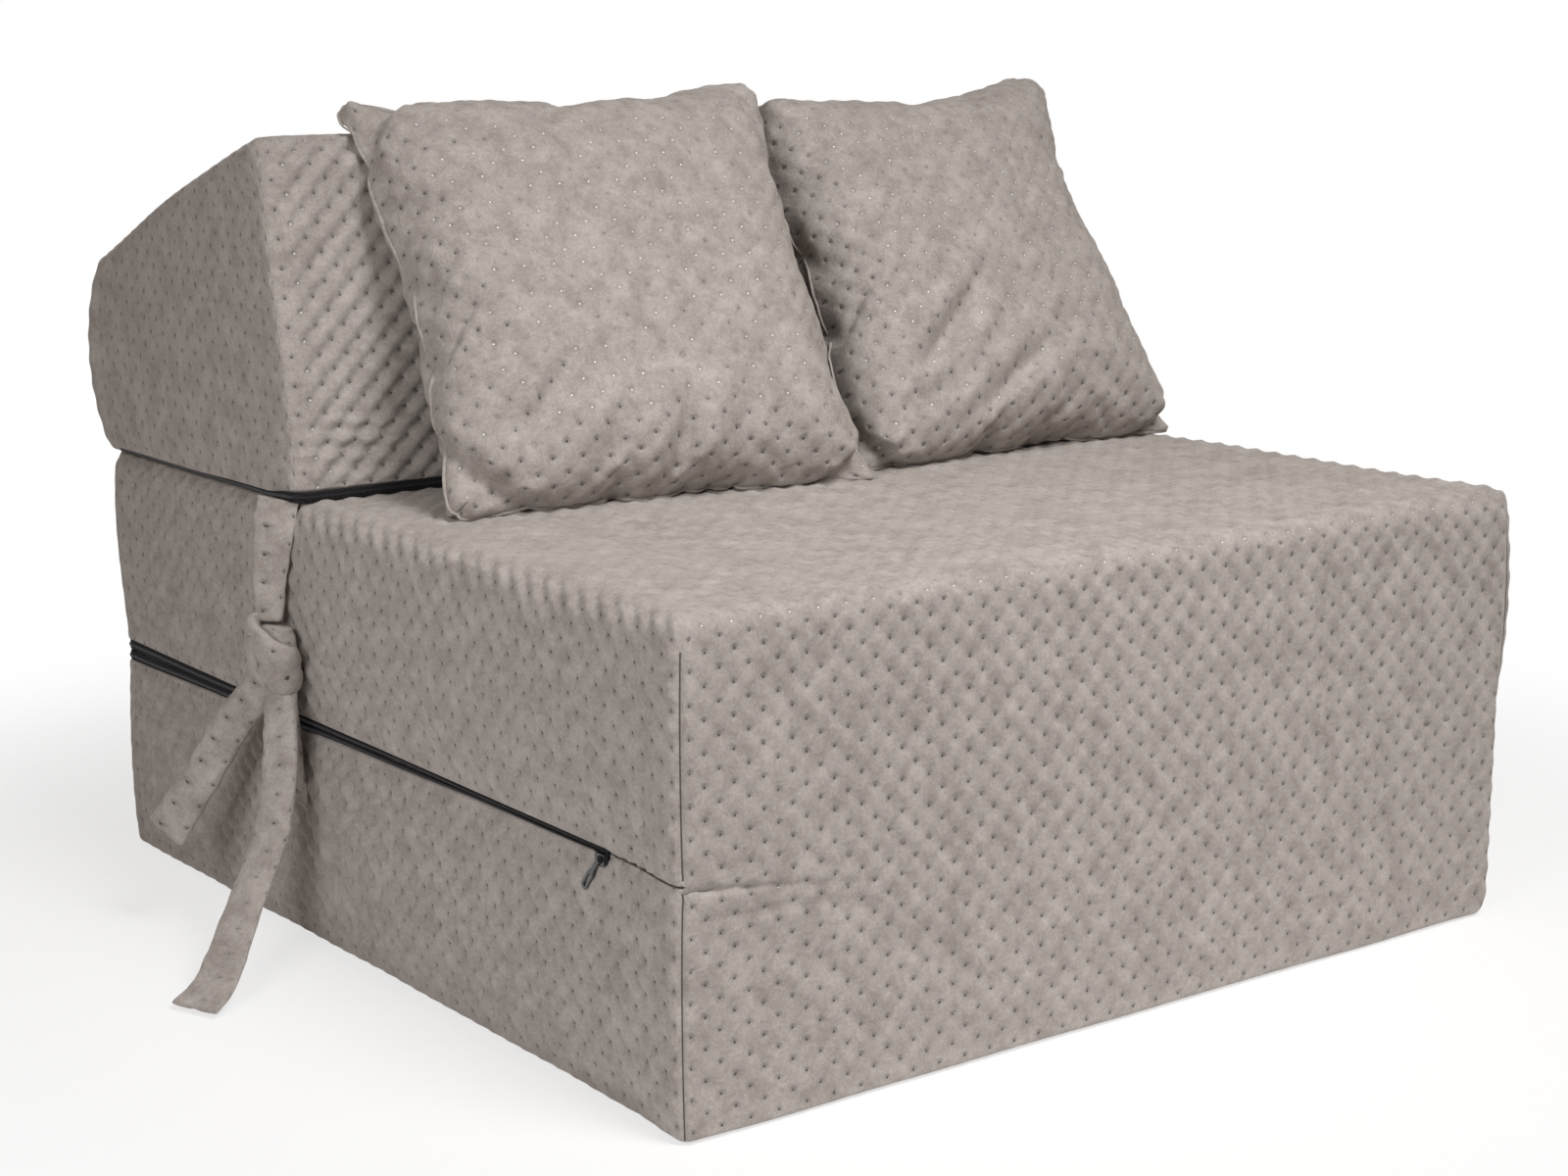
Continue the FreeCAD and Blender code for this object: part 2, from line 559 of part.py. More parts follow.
def lower_tie(side, label):
    """From the base's side up behind the zips to the knot, whose two tails hang from it."""
    y = value(WEDGE_FRONT) + size("tieInset") - size("tieShift")
    level = size("knotLevel")
    high = size("knotHigh")
    wide = size("knotWide")
    thick = size("knotThick")
    strap = size("tieThick")
    clear = size("tieClear")
    out = clear + thick / 2
    knot = ribbon(side, [
        (out, y, level - high / 2, 0.6 * wide, 0.6 * thick),
        (out, y, level - 0.3 * high, 0.92 * wide, 0.9 * thick),
        (out, y, level, wide, thick),
        (out, y, level + 0.3 * high, 0.9 * wide, 0.9 * thick),
        (out, y, level + high / 2, 0.6 * wide, 0.55 * thick),
    ], 0)
    foot = level - 0.35 * high
    sewn = 0.65 * size("layer")
    drawn_in = value(side_inset(f"{SEAT_FLOOR} - {sewn}"))
    root_out = strap / 4 + 0.2 * size("tieGap") - drawn_in
    root = ribbon(side, [
        (root_out, y, sewn, 22, strap / 2),
        (root_out + 0.3, y, sewn + 0.12 * (foot - sewn), 24, 0.55 * strap),
        (clear + 0.45 * strap, y, sewn + 0.3 * (foot - sewn), 25, 0.8 * strap),
        (clear + strap, y, sewn + 0.65 * (foot - sewn), 25, strap),
        (out - 3, y, foot, 26, strap),
    ], 0)
    long_tail = ribbon(side, [
        (out, y - 2, foot + 2, 24, 1.8 * strap),
        (out + 4, y - 13, 0.895 * foot, 28, 1.5 * strap),
        (26, y - 22, 0.8 * foot, 31, 1.3 * strap),
        (34, y - 34, 0.69 * foot, 33, 1.2 * strap),
        (44, y - 42, 0.556 * foot, 33, 1.1 * strap),
        (57, y - 49, 0.434 * foot, 33, strap),
        (79, y - 60, 0.292 * foot, 34, strap),
        (101, y - 76, 0.17 * foot, 35, strap),
        (122, y - 91, 0.073 * foot, 38, 0.9 * strap),
        (142, y - 99, 0.68 * strap, 42, 0.8 * strap),
    ], 0.3)
    short_tail = ribbon(side, [
        (out + 1, y + 5, foot + 3, 24, 1.8 * strap),
        (out + 6, y + 24, 0.928 * foot, 28, 1.4 * strap),
        (31, y + 40, 0.844 * foot, 30, 1.3 * strap),
        (42, y + 50, 0.735 * foot, 30, 1.2 * strap),
        (51, y + 58, 0.617 * foot, 31, 1.1 * strap),
        (61, y + 69, 0.504 * foot, 32, strap),
        (71, y + 81, 0.396 * foot, 34, 0.8 * strap),
    ], 0.3)
    soft(label, knot.fuse([root, long_tail, short_tail]).removeSplitter())


for side, word in ((-1, "left"), (1, "right")):
    upper_tie(side, f"tie_upper_{word}")
    lower_tie(side, f"tie_lower_{word}")


# Pillows: a crowned square with drawn-in edges and pointed corners

CROWN_STEPS = [  # height, middle of an edge and corner, as shares of half the thickness and side
    (0, None, 1),
    (0.36, 0.865, 0.82),
    (0.66, 0.71, 0.61),
    (0.88, 0.47, 0.35),
    (0.98, 0.21, 0.15),
]


def pillow_form(side, half, draw):
    """Two crowned halves, each lofted from the seam to the top of the crown."""
    halves = []
    for way in (-1, 1):
        wires = []
        for rise, middle, corner in CROWN_STEPS:
            reach = side / 2 - draw if middle is None else middle * side / 2
            tip = corner * side / 2
            level = way * rise * half
            turns = [(1, 1), (-1, 1), (-1, -1), (1, -1)]
            edges = []
            for i, (u, v) in enumerate(turns):
                next_u, next_v = turns[(i + 1) % 4]
                start = Vector(u * tip, level, v * tip)
                end = Vector(next_u * tip, level, next_v * tip)
                between = Vector((u + next_u) / 2 * reach, level, (v + next_v) / 2 * reach)
                edges.append(Part.Arc(start, between, end).toShape())
            wires.append(Part.Wire(edges))
        halves.append(Part.makeLoft(wires, True, False))
    return halves[0].fuse(halves[1])


def crown_at(share, half, side, draw):
    """Half a pillow's thickness, at a share of the way from its middle to its edge."""
    steps = [(1 if middle is None else middle / (1 - 2 * draw / side), rise)
             for rise, middle, _ in CROWN_STEPS] + [(0, 1)]
    for (outer, low), (inner, high) in zip(steps, steps[1:]):
        if share >= inner:
            return half * (low + (high - low) * (outer - share) / (outer - inner))
    return half


def pillow(word, x):
    side = size("pillowSide")
    half = size("pillowHalf")
    wall = size("pillowWall")
    gap = size("pillowGap")
    draw = size("pillowDraw")
    turn = FreeCAD.Rotation(Vector(0, 0, 1), size(f"{word}PillowTurn"))
    lean = FreeCAD.Rotation(Vector(1, 0, 0), -size(f"{word}PillowLean"))
    up = lean.multVec(Vector(0, 0, 1))
    level = 2 * size("layer") + size("pillowLift") + side / 2 * up.z
    top_edge = 2 * size("layer") + size("wedgeHeight") - level
    share = min(abs(top_edge) / up.z / (side / 2 - draw), 1)
    y = (value(WEDGE_FRONT) + size("wedgeSetback") - size(f"{word}PillowRest")
         - top_edge * up.y / up.z - crown_at(share, half, side, draw) / up.z)
    place = FreeCAD.Placement(Vector(x, y, level), turn.multiply(lean))
    outer = pillow_form(side, half, draw)
    hollow = pillow_form(side - 4 * wall, half - wall, draw)
    fill = pillow_form(side - 4 * wall - 4 * gap, half - wall - gap, draw)
    soft(f"pillow_{word}_cover", outer.cut(hollow)).Placement = place
    soft(f"pillow_{word}_fill", fill).Placement = place


pillow("left", size("leftPillowX"))
pillow("right", size("leftPillowX") + size("pillowSide") + size("pillowSpace"))


# Checks and files

doc.recompute()
for made in doc.Objects:
    if {"Invalid", "Error"} & set(made.State):
        raise RuntimeError(f"{made.Name} failed: {made.State}")
os.makedirs("parts", exist_ok=True)
for made in sub_parts:
    shape = made.Shape
    if shape.isNull() or not shape.isValid():
        raise RuntimeError(f"{made.Label} has no valid shape")
    shape.exportStep(f"parts/{made.Label}.step")
    print(f"{made.Label}: {len(shape.Solids)} solids, {shape.Volume / 1000:.1f} cm3")
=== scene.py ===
import math
import bpy
import numpy as np
from mathutils import Matrix, Vector


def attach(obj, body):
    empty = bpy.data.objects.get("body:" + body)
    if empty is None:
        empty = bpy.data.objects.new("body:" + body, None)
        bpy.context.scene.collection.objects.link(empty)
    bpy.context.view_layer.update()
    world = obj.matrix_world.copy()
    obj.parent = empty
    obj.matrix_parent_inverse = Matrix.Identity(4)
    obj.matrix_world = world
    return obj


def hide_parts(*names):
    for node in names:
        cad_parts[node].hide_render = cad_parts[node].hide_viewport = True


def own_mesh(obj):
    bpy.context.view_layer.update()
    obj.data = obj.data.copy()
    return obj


# A folding foam chair bed: two hinged blocks, a wedge backrest and two loose pillows, all in
# quilted velour. The front faces -Y and the base stands on the floor at z = 0.

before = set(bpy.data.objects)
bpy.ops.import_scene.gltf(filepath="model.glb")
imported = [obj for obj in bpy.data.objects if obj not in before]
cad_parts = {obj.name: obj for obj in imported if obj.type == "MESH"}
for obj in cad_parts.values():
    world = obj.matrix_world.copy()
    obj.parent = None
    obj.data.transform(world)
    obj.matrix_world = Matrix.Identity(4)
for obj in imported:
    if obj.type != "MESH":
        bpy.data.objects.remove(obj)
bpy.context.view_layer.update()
scene = bpy.context.scene
scene.view_settings.view_transform = "Standard"


# Materials

def linearColour(code):  # an sRGB hex code as the linear values that sockets hold
    parts = [int(code[i:i + 2], 16) / 255 for i in (1, 3, 5)]
    return (*[p / 12.92 if p <= 0.04045 else ((p + 0.055) / 1.055) ** 2.4 for p in parts], 1)


def addNode(tree, kind, links=None, **settings):  # links: socket name or number -> value or output
    node = tree.nodes.new(kind)
    for name, value in settings.items():
        setattr(node, name, value)
    for socket, source in (links or {}).items():
        if isinstance(source, bpy.types.NodeSocket):
            tree.links.new(source, node.inputs[socket])
        else:
            node.inputs[socket].default_value = source
    return node


def newMaterial(name, **finish):  # finish: constants set on the shader's own sockets
    material = bpy.data.materials.new(name)
    material.use_nodes = True
    tree = material.node_tree
    shader = tree.nodes["Principled BSDF"]
    for socket, value in finish.items():
        shader.inputs[socket.replace("_", " ")].default_value = value
    return material, tree, shader


velour = {
    "across": 23.1,      # mm between pinholes of one row
    "along": 21.9,       # mm between rows of the same phase
    "pin": 1.05,         # mm, radius of a pinhole
    "light": "#b5aea9",  # nap brushed towards the light
    "mid": "#a39c97",
    "dark": "#8f8782",   # and away from it
    # melted pinholes and seam lines; on upright faces the pinholes are also painted darker as shade
    "hole": "#332e2a",
    # painted highlight: the white drawn into pinholes that tip up towards the lamps
    "glint": "#fffdf8",
}


def quiltedVelour(name):
    # polyester velour, ultrasonically quilted on wadding: a soft nap that shades in cloudy patches, dark
    # melted pinholes where the layers join, with painted shade deepening them on upright faces, and a
    # painted white highlight (a glint) in some where the cloth tips up to the lamps
    material, tree, shader = newMaterial(
        name, Roughness=0.88, Sheen_Weight=0.28, Sheen_Roughness=0.42, IOR=1.5,
        Specular_IOR_Level=0.25)
    shader.inputs["Sheen Tint"].default_value = linearColour("#e9e2dc")
    fabric = addNode(tree, "ShaderNodeUVMap", uv_map="fabric").outputs[0]
    solid = addNode(tree, "ShaderNodeTexCoord").outputs["Object"]
    lattice = addNode(tree, "ShaderNodeVectorMath", {0: fabric, 1: (
        1000 / velour["across"], 1000 / velour["along"], 0)}, operation="MULTIPLY").outputs[0]
    folded = []
    for way in ((1, 1, 0), (1, -1, 0)):
        run = addNode(tree, "ShaderNodeVectorMath", {0: lattice, 1: way}, operation="DOT_PRODUCT")
        wave = addNode(tree, "ShaderNodeMath", {0: run.outputs["Value"], 1: 0.5}, operation="PINGPONG")
        folded.append(wave.outputs[0])
    cell = addNode(tree, "ShaderNodeCombineXYZ", {0: folded[0], 1: folded[1], 2: 0.0}).outputs[0]
    reach = addNode(tree, "ShaderNodeVectorMath", {0: cell}, operation="LENGTH").outputs["Value"]
    toPin = velour["across"] / math.sqrt(2)  # mm per unit of reach
    clouds = addNode(tree, "ShaderNodeTexNoise", {
        "Vector": solid, "Scale": 1000 / 20, "Detail": 7.0, "Roughness": 0.72, "Distortion": 0.3})
    nap = addNode(tree, "ShaderNodeTexNoise", {
        "Vector": solid, "Scale": 1000 / 2.2, "Detail": 3.0, "Roughness": 0.75})
    shade = addNode(tree, "ShaderNodeMath", {
        0: nap.outputs[0], 1: 0.55, 2: clouds.outputs[0]}, operation="MULTIPLY_ADD").outputs[0]
    tone = addNode(tree, "ShaderNodeValToRGB", {0: shade})
    for stop, (place, code) in enumerate(((0.58, "dark"), (0.78, "mid"), (0.98, "light"))):
        mark = tone.color_ramp.elements[stop] if stop < 2 else tone.color_ramp.elements.new(place)
        mark.position = place
        mark.color = linearColour(velour[code])
    # the pin field sets painted shade: pinholes and their dimples are drawn darker on upright faces and
    # fainter on top faces, where the lamps fill them; it also sets the dimples' bump depth
    depth = addNode(tree, "ShaderNodeAttribute", attribute_name="pin").outputs["Fac"]
    # painted shade: the cloth's colour darkens towards each pinhole's dimple
    valley = addNode(tree, "ShaderNodeMapRange", {
        0: reach, 1: 1.0 / toPin, 2: 4.6 / toPin, 3: 0.0, 4: 1.0}, interpolation_type="SMOOTHSTEP")
    lowest = addNode(tree, "ShaderNodeMath", {0: depth, 1: -0.17, 2: 1.0}, operation="MULTIPLY_ADD")
    valley = addNode(tree, "ShaderNodeMapRange", {0: valley.outputs[0], 3: lowest.outputs[0], 4: 1.0})
    # pinholes: dark melted spots, painted darker still as shade where the pin field is high
    hole = addNode(tree, "ShaderNodeMapRange", {
        0: reach, 1: 0.4 * velour["pin"] / toPin, 2: 1.35 * velour["pin"] / toPin, 3: 0.9, 4: 0.0},
        interpolation_type="SMOOTHSTEP")
    hole = addNode(tree, "ShaderNodeMath", {0: hole.outputs[0], 1: depth}, operation="MULTIPLY")
    shadedValleys = addNode(tree, "ShaderNodeMix", {"Factor": 1.0, 6: tone.outputs[0], 7: valley.outputs[0]},
                   data_type="RGBA", blend_type="MULTIPLY")
    pierced = addNode(tree, "ShaderNodeMix", {
        "Factor": hole.outputs[0], 6: shadedValleys.outputs[2], 7: linearColour(velour["hole"])}, data_type="RGBA")
    seam = addNode(tree, "ShaderNodeAttribute", attribute_name="seam").outputs["Fac"]
    stitched = addNode(tree, "ShaderNodeMapRange", {
        0: seam, 1: 0.0003, 2: 0.0015, 3: 0.9, 4: 0.0}, interpolation_type="SMOOTHSTEP")
    sewn = addNode(tree, "ShaderNodeMix", {
        "Factor": stitched.outputs[0], 6: pierced.outputs[2], 7: linearColour(velour["hole"])},
        data_type="RGBA")
    # painted highlight: a small white glint in the pinholes where the glint field, set from how the cloth
    # faces the lamps, is high
    facing = addNode(tree, "ShaderNodeAttribute", attribute_name="glint").outputs["Fac"]
    patchy = addNode(tree, "ShaderNodeTexNoise", {"Vector": solid, "Scale": 1000 / 16, "Detail": 1.0})
    lit = addNode(tree, "ShaderNodeMath", {0: facing, 1: patchy.outputs[0]}, operation="MULTIPLY")
    lucky = addNode(tree, "ShaderNodeMapRange", {0: lit.outputs[0], 1: 0.34, 2: 0.42, 3: 0.0, 4: 1.0})
    glintDot = addNode(tree, "ShaderNodeMapRange", {0: reach, 1: 0.4 / toPin, 2: 0.9 / toPin, 3: 1.0, 4: 0.0})
    shown = addNode(tree, "ShaderNodeMath", {
        0: lucky.outputs[0], 1: glintDot.outputs[0]}, operation="MULTIPLY")
    glinted = addNode(tree, "ShaderNodeMix", {
        "Factor": shown.outputs[0], 6: sewn.outputs[2], 7: linearColour(velour["glint"])}, data_type="RGBA")
    tree.links.new(glinted.outputs[2], shader.inputs["Base Color"])
    dimple = addNode(tree, "ShaderNodeMapRange", {
        0: reach, 1: 0.0, 2: 4.2 / toPin, 3: -0.0010, 4: 0.0}, interpolation_type="SMOOTHERSTEP")
    dimple = addNode(tree, "ShaderNodeMath", {0: dimple.outputs[0], 1: depth}, operation="MULTIPLY")
    height = addNode(tree, "ShaderNodeMath", {
        0: nap.outputs[0], 1: 0.00045, 2: dimple.outputs[0]}, operation="MULTIPLY_ADD")
    height = addNode(tree, "ShaderNodeMath", {
        0: clouds.outputs[0], 1: 0.0010, 2: height.outputs[0]}, operation="MULTIPLY_ADD")
    relief = addNode(tree, "ShaderNodeBump",
                     {"Height": height.outputs[0], "Distance": 1.0, "Strength": 1.0})
    tree.links.new(relief.outputs[0], shader.inputs["Normal"])
    return material


def patternedFinish(name, kind, pattern, tones, relief=None, bands=None, **finish):
    # one pattern mixes two tones, and stands in relief by so many metres
    material, tree, shader = newMaterial(name, **finish)
    solid = addNode(tree, "ShaderNodeTexCoord").outputs["Object"]
    settings = {"bands_direction": bands} if bands else {}
    texture = addNode(tree, kind, {"Vector": solid, **pattern}, **settings).outputs[0]
    tone = addNode(tree, "ShaderNodeMix", {
        "Factor": texture, 6: linearColour(tones[0]), 7: linearColour(tones[1])}, data_type="RGBA")
    tree.links.new(tone.outputs[2], shader.inputs["Base Color"])
    if relief:
        bump = addNode(tree, "ShaderNodeBump", {"Height": texture, "Distance": relief})
        tree.links.new(bump.outputs[0], shader.inputs["Normal"])
    return material


def enamelledZinc():
    # die-cast zinc, barrel-enamelled black: glossy with a little orange peel and rubbed edges
    material, tree, shader = newMaterial("black enamelled zinc", Roughness=0.2, IOR=1.5)
    shader.inputs["Coat Weight"].default_value = 0.3
    solid = addNode(tree, "ShaderNodeTexCoord").outputs["Object"]
    peel = addNode(tree, "ShaderNodeTexNoise", {"Vector": solid, "Scale": 1000 / 1.5, "Detail": 2.0})
    edge = addNode(tree, "ShaderNodeNewGeometry").outputs["Pointiness"]
    rubbed = addNode(tree, "ShaderNodeMapRange", {0: edge, 1: 0.52, 2: 0.6, 3: 0.0, 4: 0.35})
    tone = addNode(tree, "ShaderNodeMix", {
        "Factor": rubbed.outputs[0], 6: linearColour("#121214"), 7: linearColour("#4a4a4e")},
        data_type="RGBA")
    tree.links.new(tone.outputs[2], shader.inputs["Base Color"])
    relief = addNode(tree, "ShaderNodeBump", {"Height": peel.outputs[0], "Distance": 0.00005})
    tree.links.new(relief.outputs[0], shader.inputs["Normal"])
    return material


print("chair bed: materials")
velourCloth = quiltedVelour("quilted polyester velour")
zinc = enamelledZinc()
waveTurn = 6.28      # from a stripe's spacing to the wave texture's scale
# polyester zip tape, woven in a fine twill and dyed black: dull, with a faint diagonal rib,
# drawn 1.2 mm apart because the real 0.4 mm is too fine to show
zipTape = patternedFinish(
    "woven polyester zip tape", "ShaderNodeTexWave",
    {"Scale": 1000 / 1.2 / waveTurn, "Distortion": 0.6, "Detail": 1.0}, ("#161517", "#2b292c"),
    relief=0.0002, bands="DIAGONAL", Roughness=0.85, Specular_IOR_Level=0.12)
# extruded nylon monofilament wound into a zip's teeth: black with a soft plastic shine
zipCoil = patternedFinish(
    "nylon zip coil", "ShaderNodeTexNoise", {"Scale": 1000 / 5, "Detail": 2.0}, ("#1d1c1e", "#343236"),
    Roughness=0.42, Specular_IOR_Level=0.3)
# slab-cut polyurethane foam: cream, matt, with open cells about a millimetre wide
foam = patternedFinish(
    "cut polyurethane foam", "ShaderNodeTexVoronoi", {"Scale": 1000 / 1.4}, ("#cdbf9a", "#f1e8cf"),
    relief=0.0006, Roughness=0.95)
# crimped polyester fibre, carded into a soft white filling with loose tufts
fibre = patternedFinish(
    "carded polyester fibre", "ShaderNodeTexNoise",
    {"Scale": 1000 / 18, "Detail": 8.0, "Roughness": 0.75, "Distortion": 1.5}, ("#d9d8d4", "#fbfbf9"),
    relief=0.004, Roughness=1.0, Sheen_Weight=0.5)
# spun polyester sewing thread in the velour's colour: matt, with a two-ply twist
thread = patternedFinish(
    "spun polyester thread", "ShaderNodeTexWave", {"Scale": 1000 / 0.9 / waveTurn, "Distortion": 0.4},
    ("#5d554f", "#968c85"), bands="DIAGONAL", Roughness=0.7, Sheen_Weight=0.2)


# Mesh helpers

def readNumbers(items, field, count, kind=np.float32):
    numbers = np.zeros(count, kind)
    items.foreach_get(field, numbers)
    return numbers


def makePiece(name, points, faces, material, fabric=None, fields=None, sharp=None):
    # fabric: a UV pair for each face corner; fields: named numbers for each point
    mesh = bpy.data.meshes.new(name)
    points = np.asarray(points, float)
    faces = np.asarray(faces)
    mesh.vertices.add(len(points))
    mesh.vertices.foreach_set("co", points.astype(np.float32).ravel())
    mesh.loops.add(faces.size)
    mesh.loops.foreach_set("vertex_index", faces.ravel().astype(np.int32))
    mesh.polygons.add(len(faces))
    mesh.polygons.foreach_set("loop_start", np.arange(0, faces.size, faces.shape[1], dtype=np.int32))
    mesh.update(calc_edges=True)
    mesh.polygons.foreach_set("use_smooth", np.ones(len(faces), bool))
    if fabric is not None:
        layer = mesh.uv_layers.new(name="fabric")
        layer.data.foreach_set("uv", np.asarray(fabric, np.float32).ravel())
    for field, numbers in (fields or {}).items():
        layer = mesh.attributes.new(field, "FLOAT", "POINT")
        layer.data.foreach_set("value", np.asarray(numbers, np.float32))
    if sharp is not None:
        ends = readNumbers(mesh.edges, "vertices", len(mesh.edges) * 2, np.int32)
        marks = sharp[ends.reshape(-1, 2)].all(axis=1)
        edges = mesh.attributes.new("sharp_edge", "BOOLEAN", "EDGE")
        edges.data.foreach_set("value", marks)
    mesh.materials.append(material)
    piece = bpy.data.objects.new(name, mesh)
    scene.collection.objects.link(piece)
    return piece


def smoothStep(x, low, high):
    t = np.clip((np.asarray(x, float) - low) / (high - low), 0, 1)
    return t * t * (3 - 2 * t)


def quiltRise(fabric, slant=0.0):  # 0 at the pinholes, 1 in the middle of each diamond
    p = fabric[..., 0] * 1000 / velour["across"]
    q = fabric[..., 1] * 1000 / velour["along"]
    along, against = np.sin(np.pi * (p + q)) ** 2, np.sin(np.pi * (p - q)) ** 2
    return (1 + slant) / 2 * along + (1 - slant) / 2 * against


def unevenness(points, size, seed):  # slow waves that keep a big face from being dead flat
    turns = np.random.default_rng(seed).uniform(-1, 1, (7, 3))
    total = np.zeros(len(points))
    for n, turn in enumerate(turns):
        way = turn / np.linalg.norm(turn) * 2 * math.pi / (size * (0.7 + 0.13 * n))
        total += np.sin(points @ way + 5 * turn[0] + n)
    return total / len(turns)


def cloudGlints(normals, strength=1.0):  # painted highlights: glints are drawn only where the cloth tips up towards the lamps
    up, ahead = normals[:, 2], -normals[:, 1]
    tipped = smoothStep(up, 0.12, 0.45) * (1 - smoothStep(up, 0.80, 0.97))
    return strength * tipped * smoothStep(ahead, -0.1, 0.25)


def clothFields(normals, seam, glint):  # numbers that the velour's shader reads
    pin = 1 - 0.62 * smoothStep(normals[:, 2], 0.1, 0.75)    # pinholes fill with light on top faces
    count = len(normals)
    return {"seam": np.broadcast_to(seam, count), "glint": np.broadcast_to(glint, count), "pin": pin}


def pointNormals(points, faces):
    total = np.zeros_like(points)
    a, b, c, d = (points[faces[:, k]] for k in range(4))
    way = np.cross(c - a, d - b)
    for k in range(4):
        np.add.at(total, faces[:, k], way)
    return total / np.maximum(np.linalg.norm(total, axis=1, keepdims=True), 1e-12)


# Block covers: six quilted panels on one lattice, so that their edges meet point for point

def stepped(low, high, step, nearLow=(), nearHigh=()):  # places along one side, finer at its ends
    inner = np.linspace(low + max(nearLow, default=0), high - max(nearHigh, default=0),
                        max(2, round((high - low) / step)))
    return np.unique(np.round(np.concatenate([
        [low, high], low + np.array(nearLow), high - np.array(nearHigh), inner]), 6))


def boxLattice(xs, ys, zs):
    sides = (xs, ys, zs)
    counts = [len(s) - 1 for s in sides]
    quads, panels = [], []
    for axis in range(3):
        first, second = ((1, 2), (2, 0), (0, 1))[axis]
        i, j = np.meshgrid(np.arange(counts[first]), np.arange(counts[second]), indexing="ij")
        for end in (0, 1):
            corners = np.zeros((i.size, 4, 3), int)
            for c, (di, dj) in enumerate(((0, 0), (1, 0), (1, 1), (0, 1)) if end else
                                         ((0, 0), (0, 1), (1, 1), (1, 0))):
                corners[:, c, axis] = end * counts[axis]
                corners[:, c, first] = (i + di).ravel()
                corners[:, c, second] = (j + dj).ravel()
            quads.append(corners)
            panels.append(np.full(i.size, 2 * axis + end))
    quads = np.concatenate(quads)
    codes = (quads[..., 0] * len(ys) + quads[..., 1]) * len(zs) + quads[..., 2]
    used, faces = np.unique(codes, return_inverse=True)
    faces = faces.reshape(-1, 4)
    cells = np.stack([used // (len(ys) * len(zs)), used // len(zs) % len(ys), used % len(zs)], -1)
    points = np.stack([xs[cells[:, 0]], ys[cells[:, 1]], zs[cells[:, 2]]], -1)
    return points, faces, np.concatenate(panels)


def roundBox(points, low, high, corner, lowEdge, highEdge):
    # rounds a box's upright edges, then its lower and upper ones, whose radii depend on the side
    middle, half = (low + high) / 2, (high - low) / 2
    x, y = points[:, 0] - middle[0], points[:, 1] - middle[1]
    m = np.maximum(np.abs(x) - (half[0] - corner), 0)
    n = np.maximum(np.abs(y) - (half[1] - corner), 0)
    small, large = np.minimum(m, n), np.maximum(np.maximum(m, n), 1e-9)
    turn = np.where(m >= n, math.pi / 4 * small / large, math.pi / 2 - math.pi / 4 * small / large)
    inside = (m == 0) & (n == 0)
    nearSide = half[0] - np.abs(x) < half[1] - np.abs(y)
    turn = np.where(inside, np.where(nearSide, 0, math.pi / 2), turn)
    large = np.where(inside, 0, large)
    outX, outY = np.sign(x) * np.cos(turn), np.sign(y) * np.sin(turn)
    px = np.sign(x) * np.minimum(np.abs(x), half[0] - corner) + outX * large
    py = np.sign(y) * np.minimum(np.abs(y), half[1] - corner) + outY * large
    inward = np.minimum(half[0] - np.abs(x), half[1] - np.abs(y))
    z = points[:, 2].copy()
    tip = np.zeros(len(points))  # how far the surface has turned up or down, as an angle
    for end, radii, way in ((low[2], lowEdge, -1), (high[2], highEdge, 1)):
        radius = (radii[0] * np.maximum(-outY, 0) ** 2 + radii[1] * outX ** 2
                  + radii[2] * np.maximum(outY, 0) ** 2)
        radius = np.maximum(radius, 1e-5)
        drop = np.abs(points[:, 2] - end)
        angle = math.pi / 4 * np.where(drop < 1e-7, 1 + inward / radius, 1 - drop / radius)
        near = (angle > 0) & (angle < math.pi / 2) & ((drop < 1e-7) | (inward < 1e-7))
        shift = radius * (1 - np.cos(angle))
        px = np.where(near, px + outX * (inward - shift), px)
        py = np.where(near, py + outY * (inward - shift), py)
        z = np.where(near, end - way * radius * (1 - np.sin(angle)), z)
        square = (radius < 0.0006) & (inward < 1e-7)
        tip = np.where(near, way * angle, np.where(drop < 1e-7, way * math.pi / 2, tip))
        tip = np.where(square & near, 0, tip)
    out = np.stack([outX * np.cos(tip), outY * np.cos(tip), np.sin(tip)], -1)
    return np.stack([px + middle[0], py + middle[1], z], -1), out


block = {
    "halfWide": 0.402,
    "halfDeep": 0.425,
    "layer": 0.175,      # height of one block
    "crown": 0.0075,     # swell of its left and right sides at the front
    "rearCrown": 0.004,  # and at the rear
    "corner": 0.010,
    "foot": 0.006,
    "cornerCrown": 0.0015,
    "puff": 0.0026,      # rise of a quilted diamond
    "sunk": 0.0012,      # pinholes below the foam's line
    "wander": 0.0016,    # slow waves of the cloth
    "seamDip": 0.0012,   # corner seams below it
    "baseFuller": 0.9,   # how much more the base's sides are puffed
    "seatFuller": 0.5,
    "frontSlant": 0.45,  # how far the quilting's ridges lean one way on the front
    "sideSlant": 0.4,    # and the other way on the sides
    "step": 0.0034,      # mesh spacing
    "zipDeep": 0.0024,   # the fabric beside the teeth stands back this far
    "lipFront": 0.0016,  # from the meeting line to the fabric's folded lip, at the slider
    "lipRear": 0.0088,   # and at the rear corner
    "sliderY": -0.326,
}
edgeSteps = (0.0012, 0.0028, 0.0048, 0.0072, 0.010, 0.013, 0.0165)
lipSteps = (*np.arange(0.0007, 0.0125, 0.0009), 0.0135, 0.0158, 0.0185)


def crownAt(y):  # how far a side's upper and lower edges stand in
    swell = block["crown"] + (block["rearCrown"] - block["crown"]) * smoothStep(y, -0.1, 0.3)
    return block["cornerCrown"] + (swell - block["cornerCrown"]) * smoothStep(y, -0.415, -0.355)


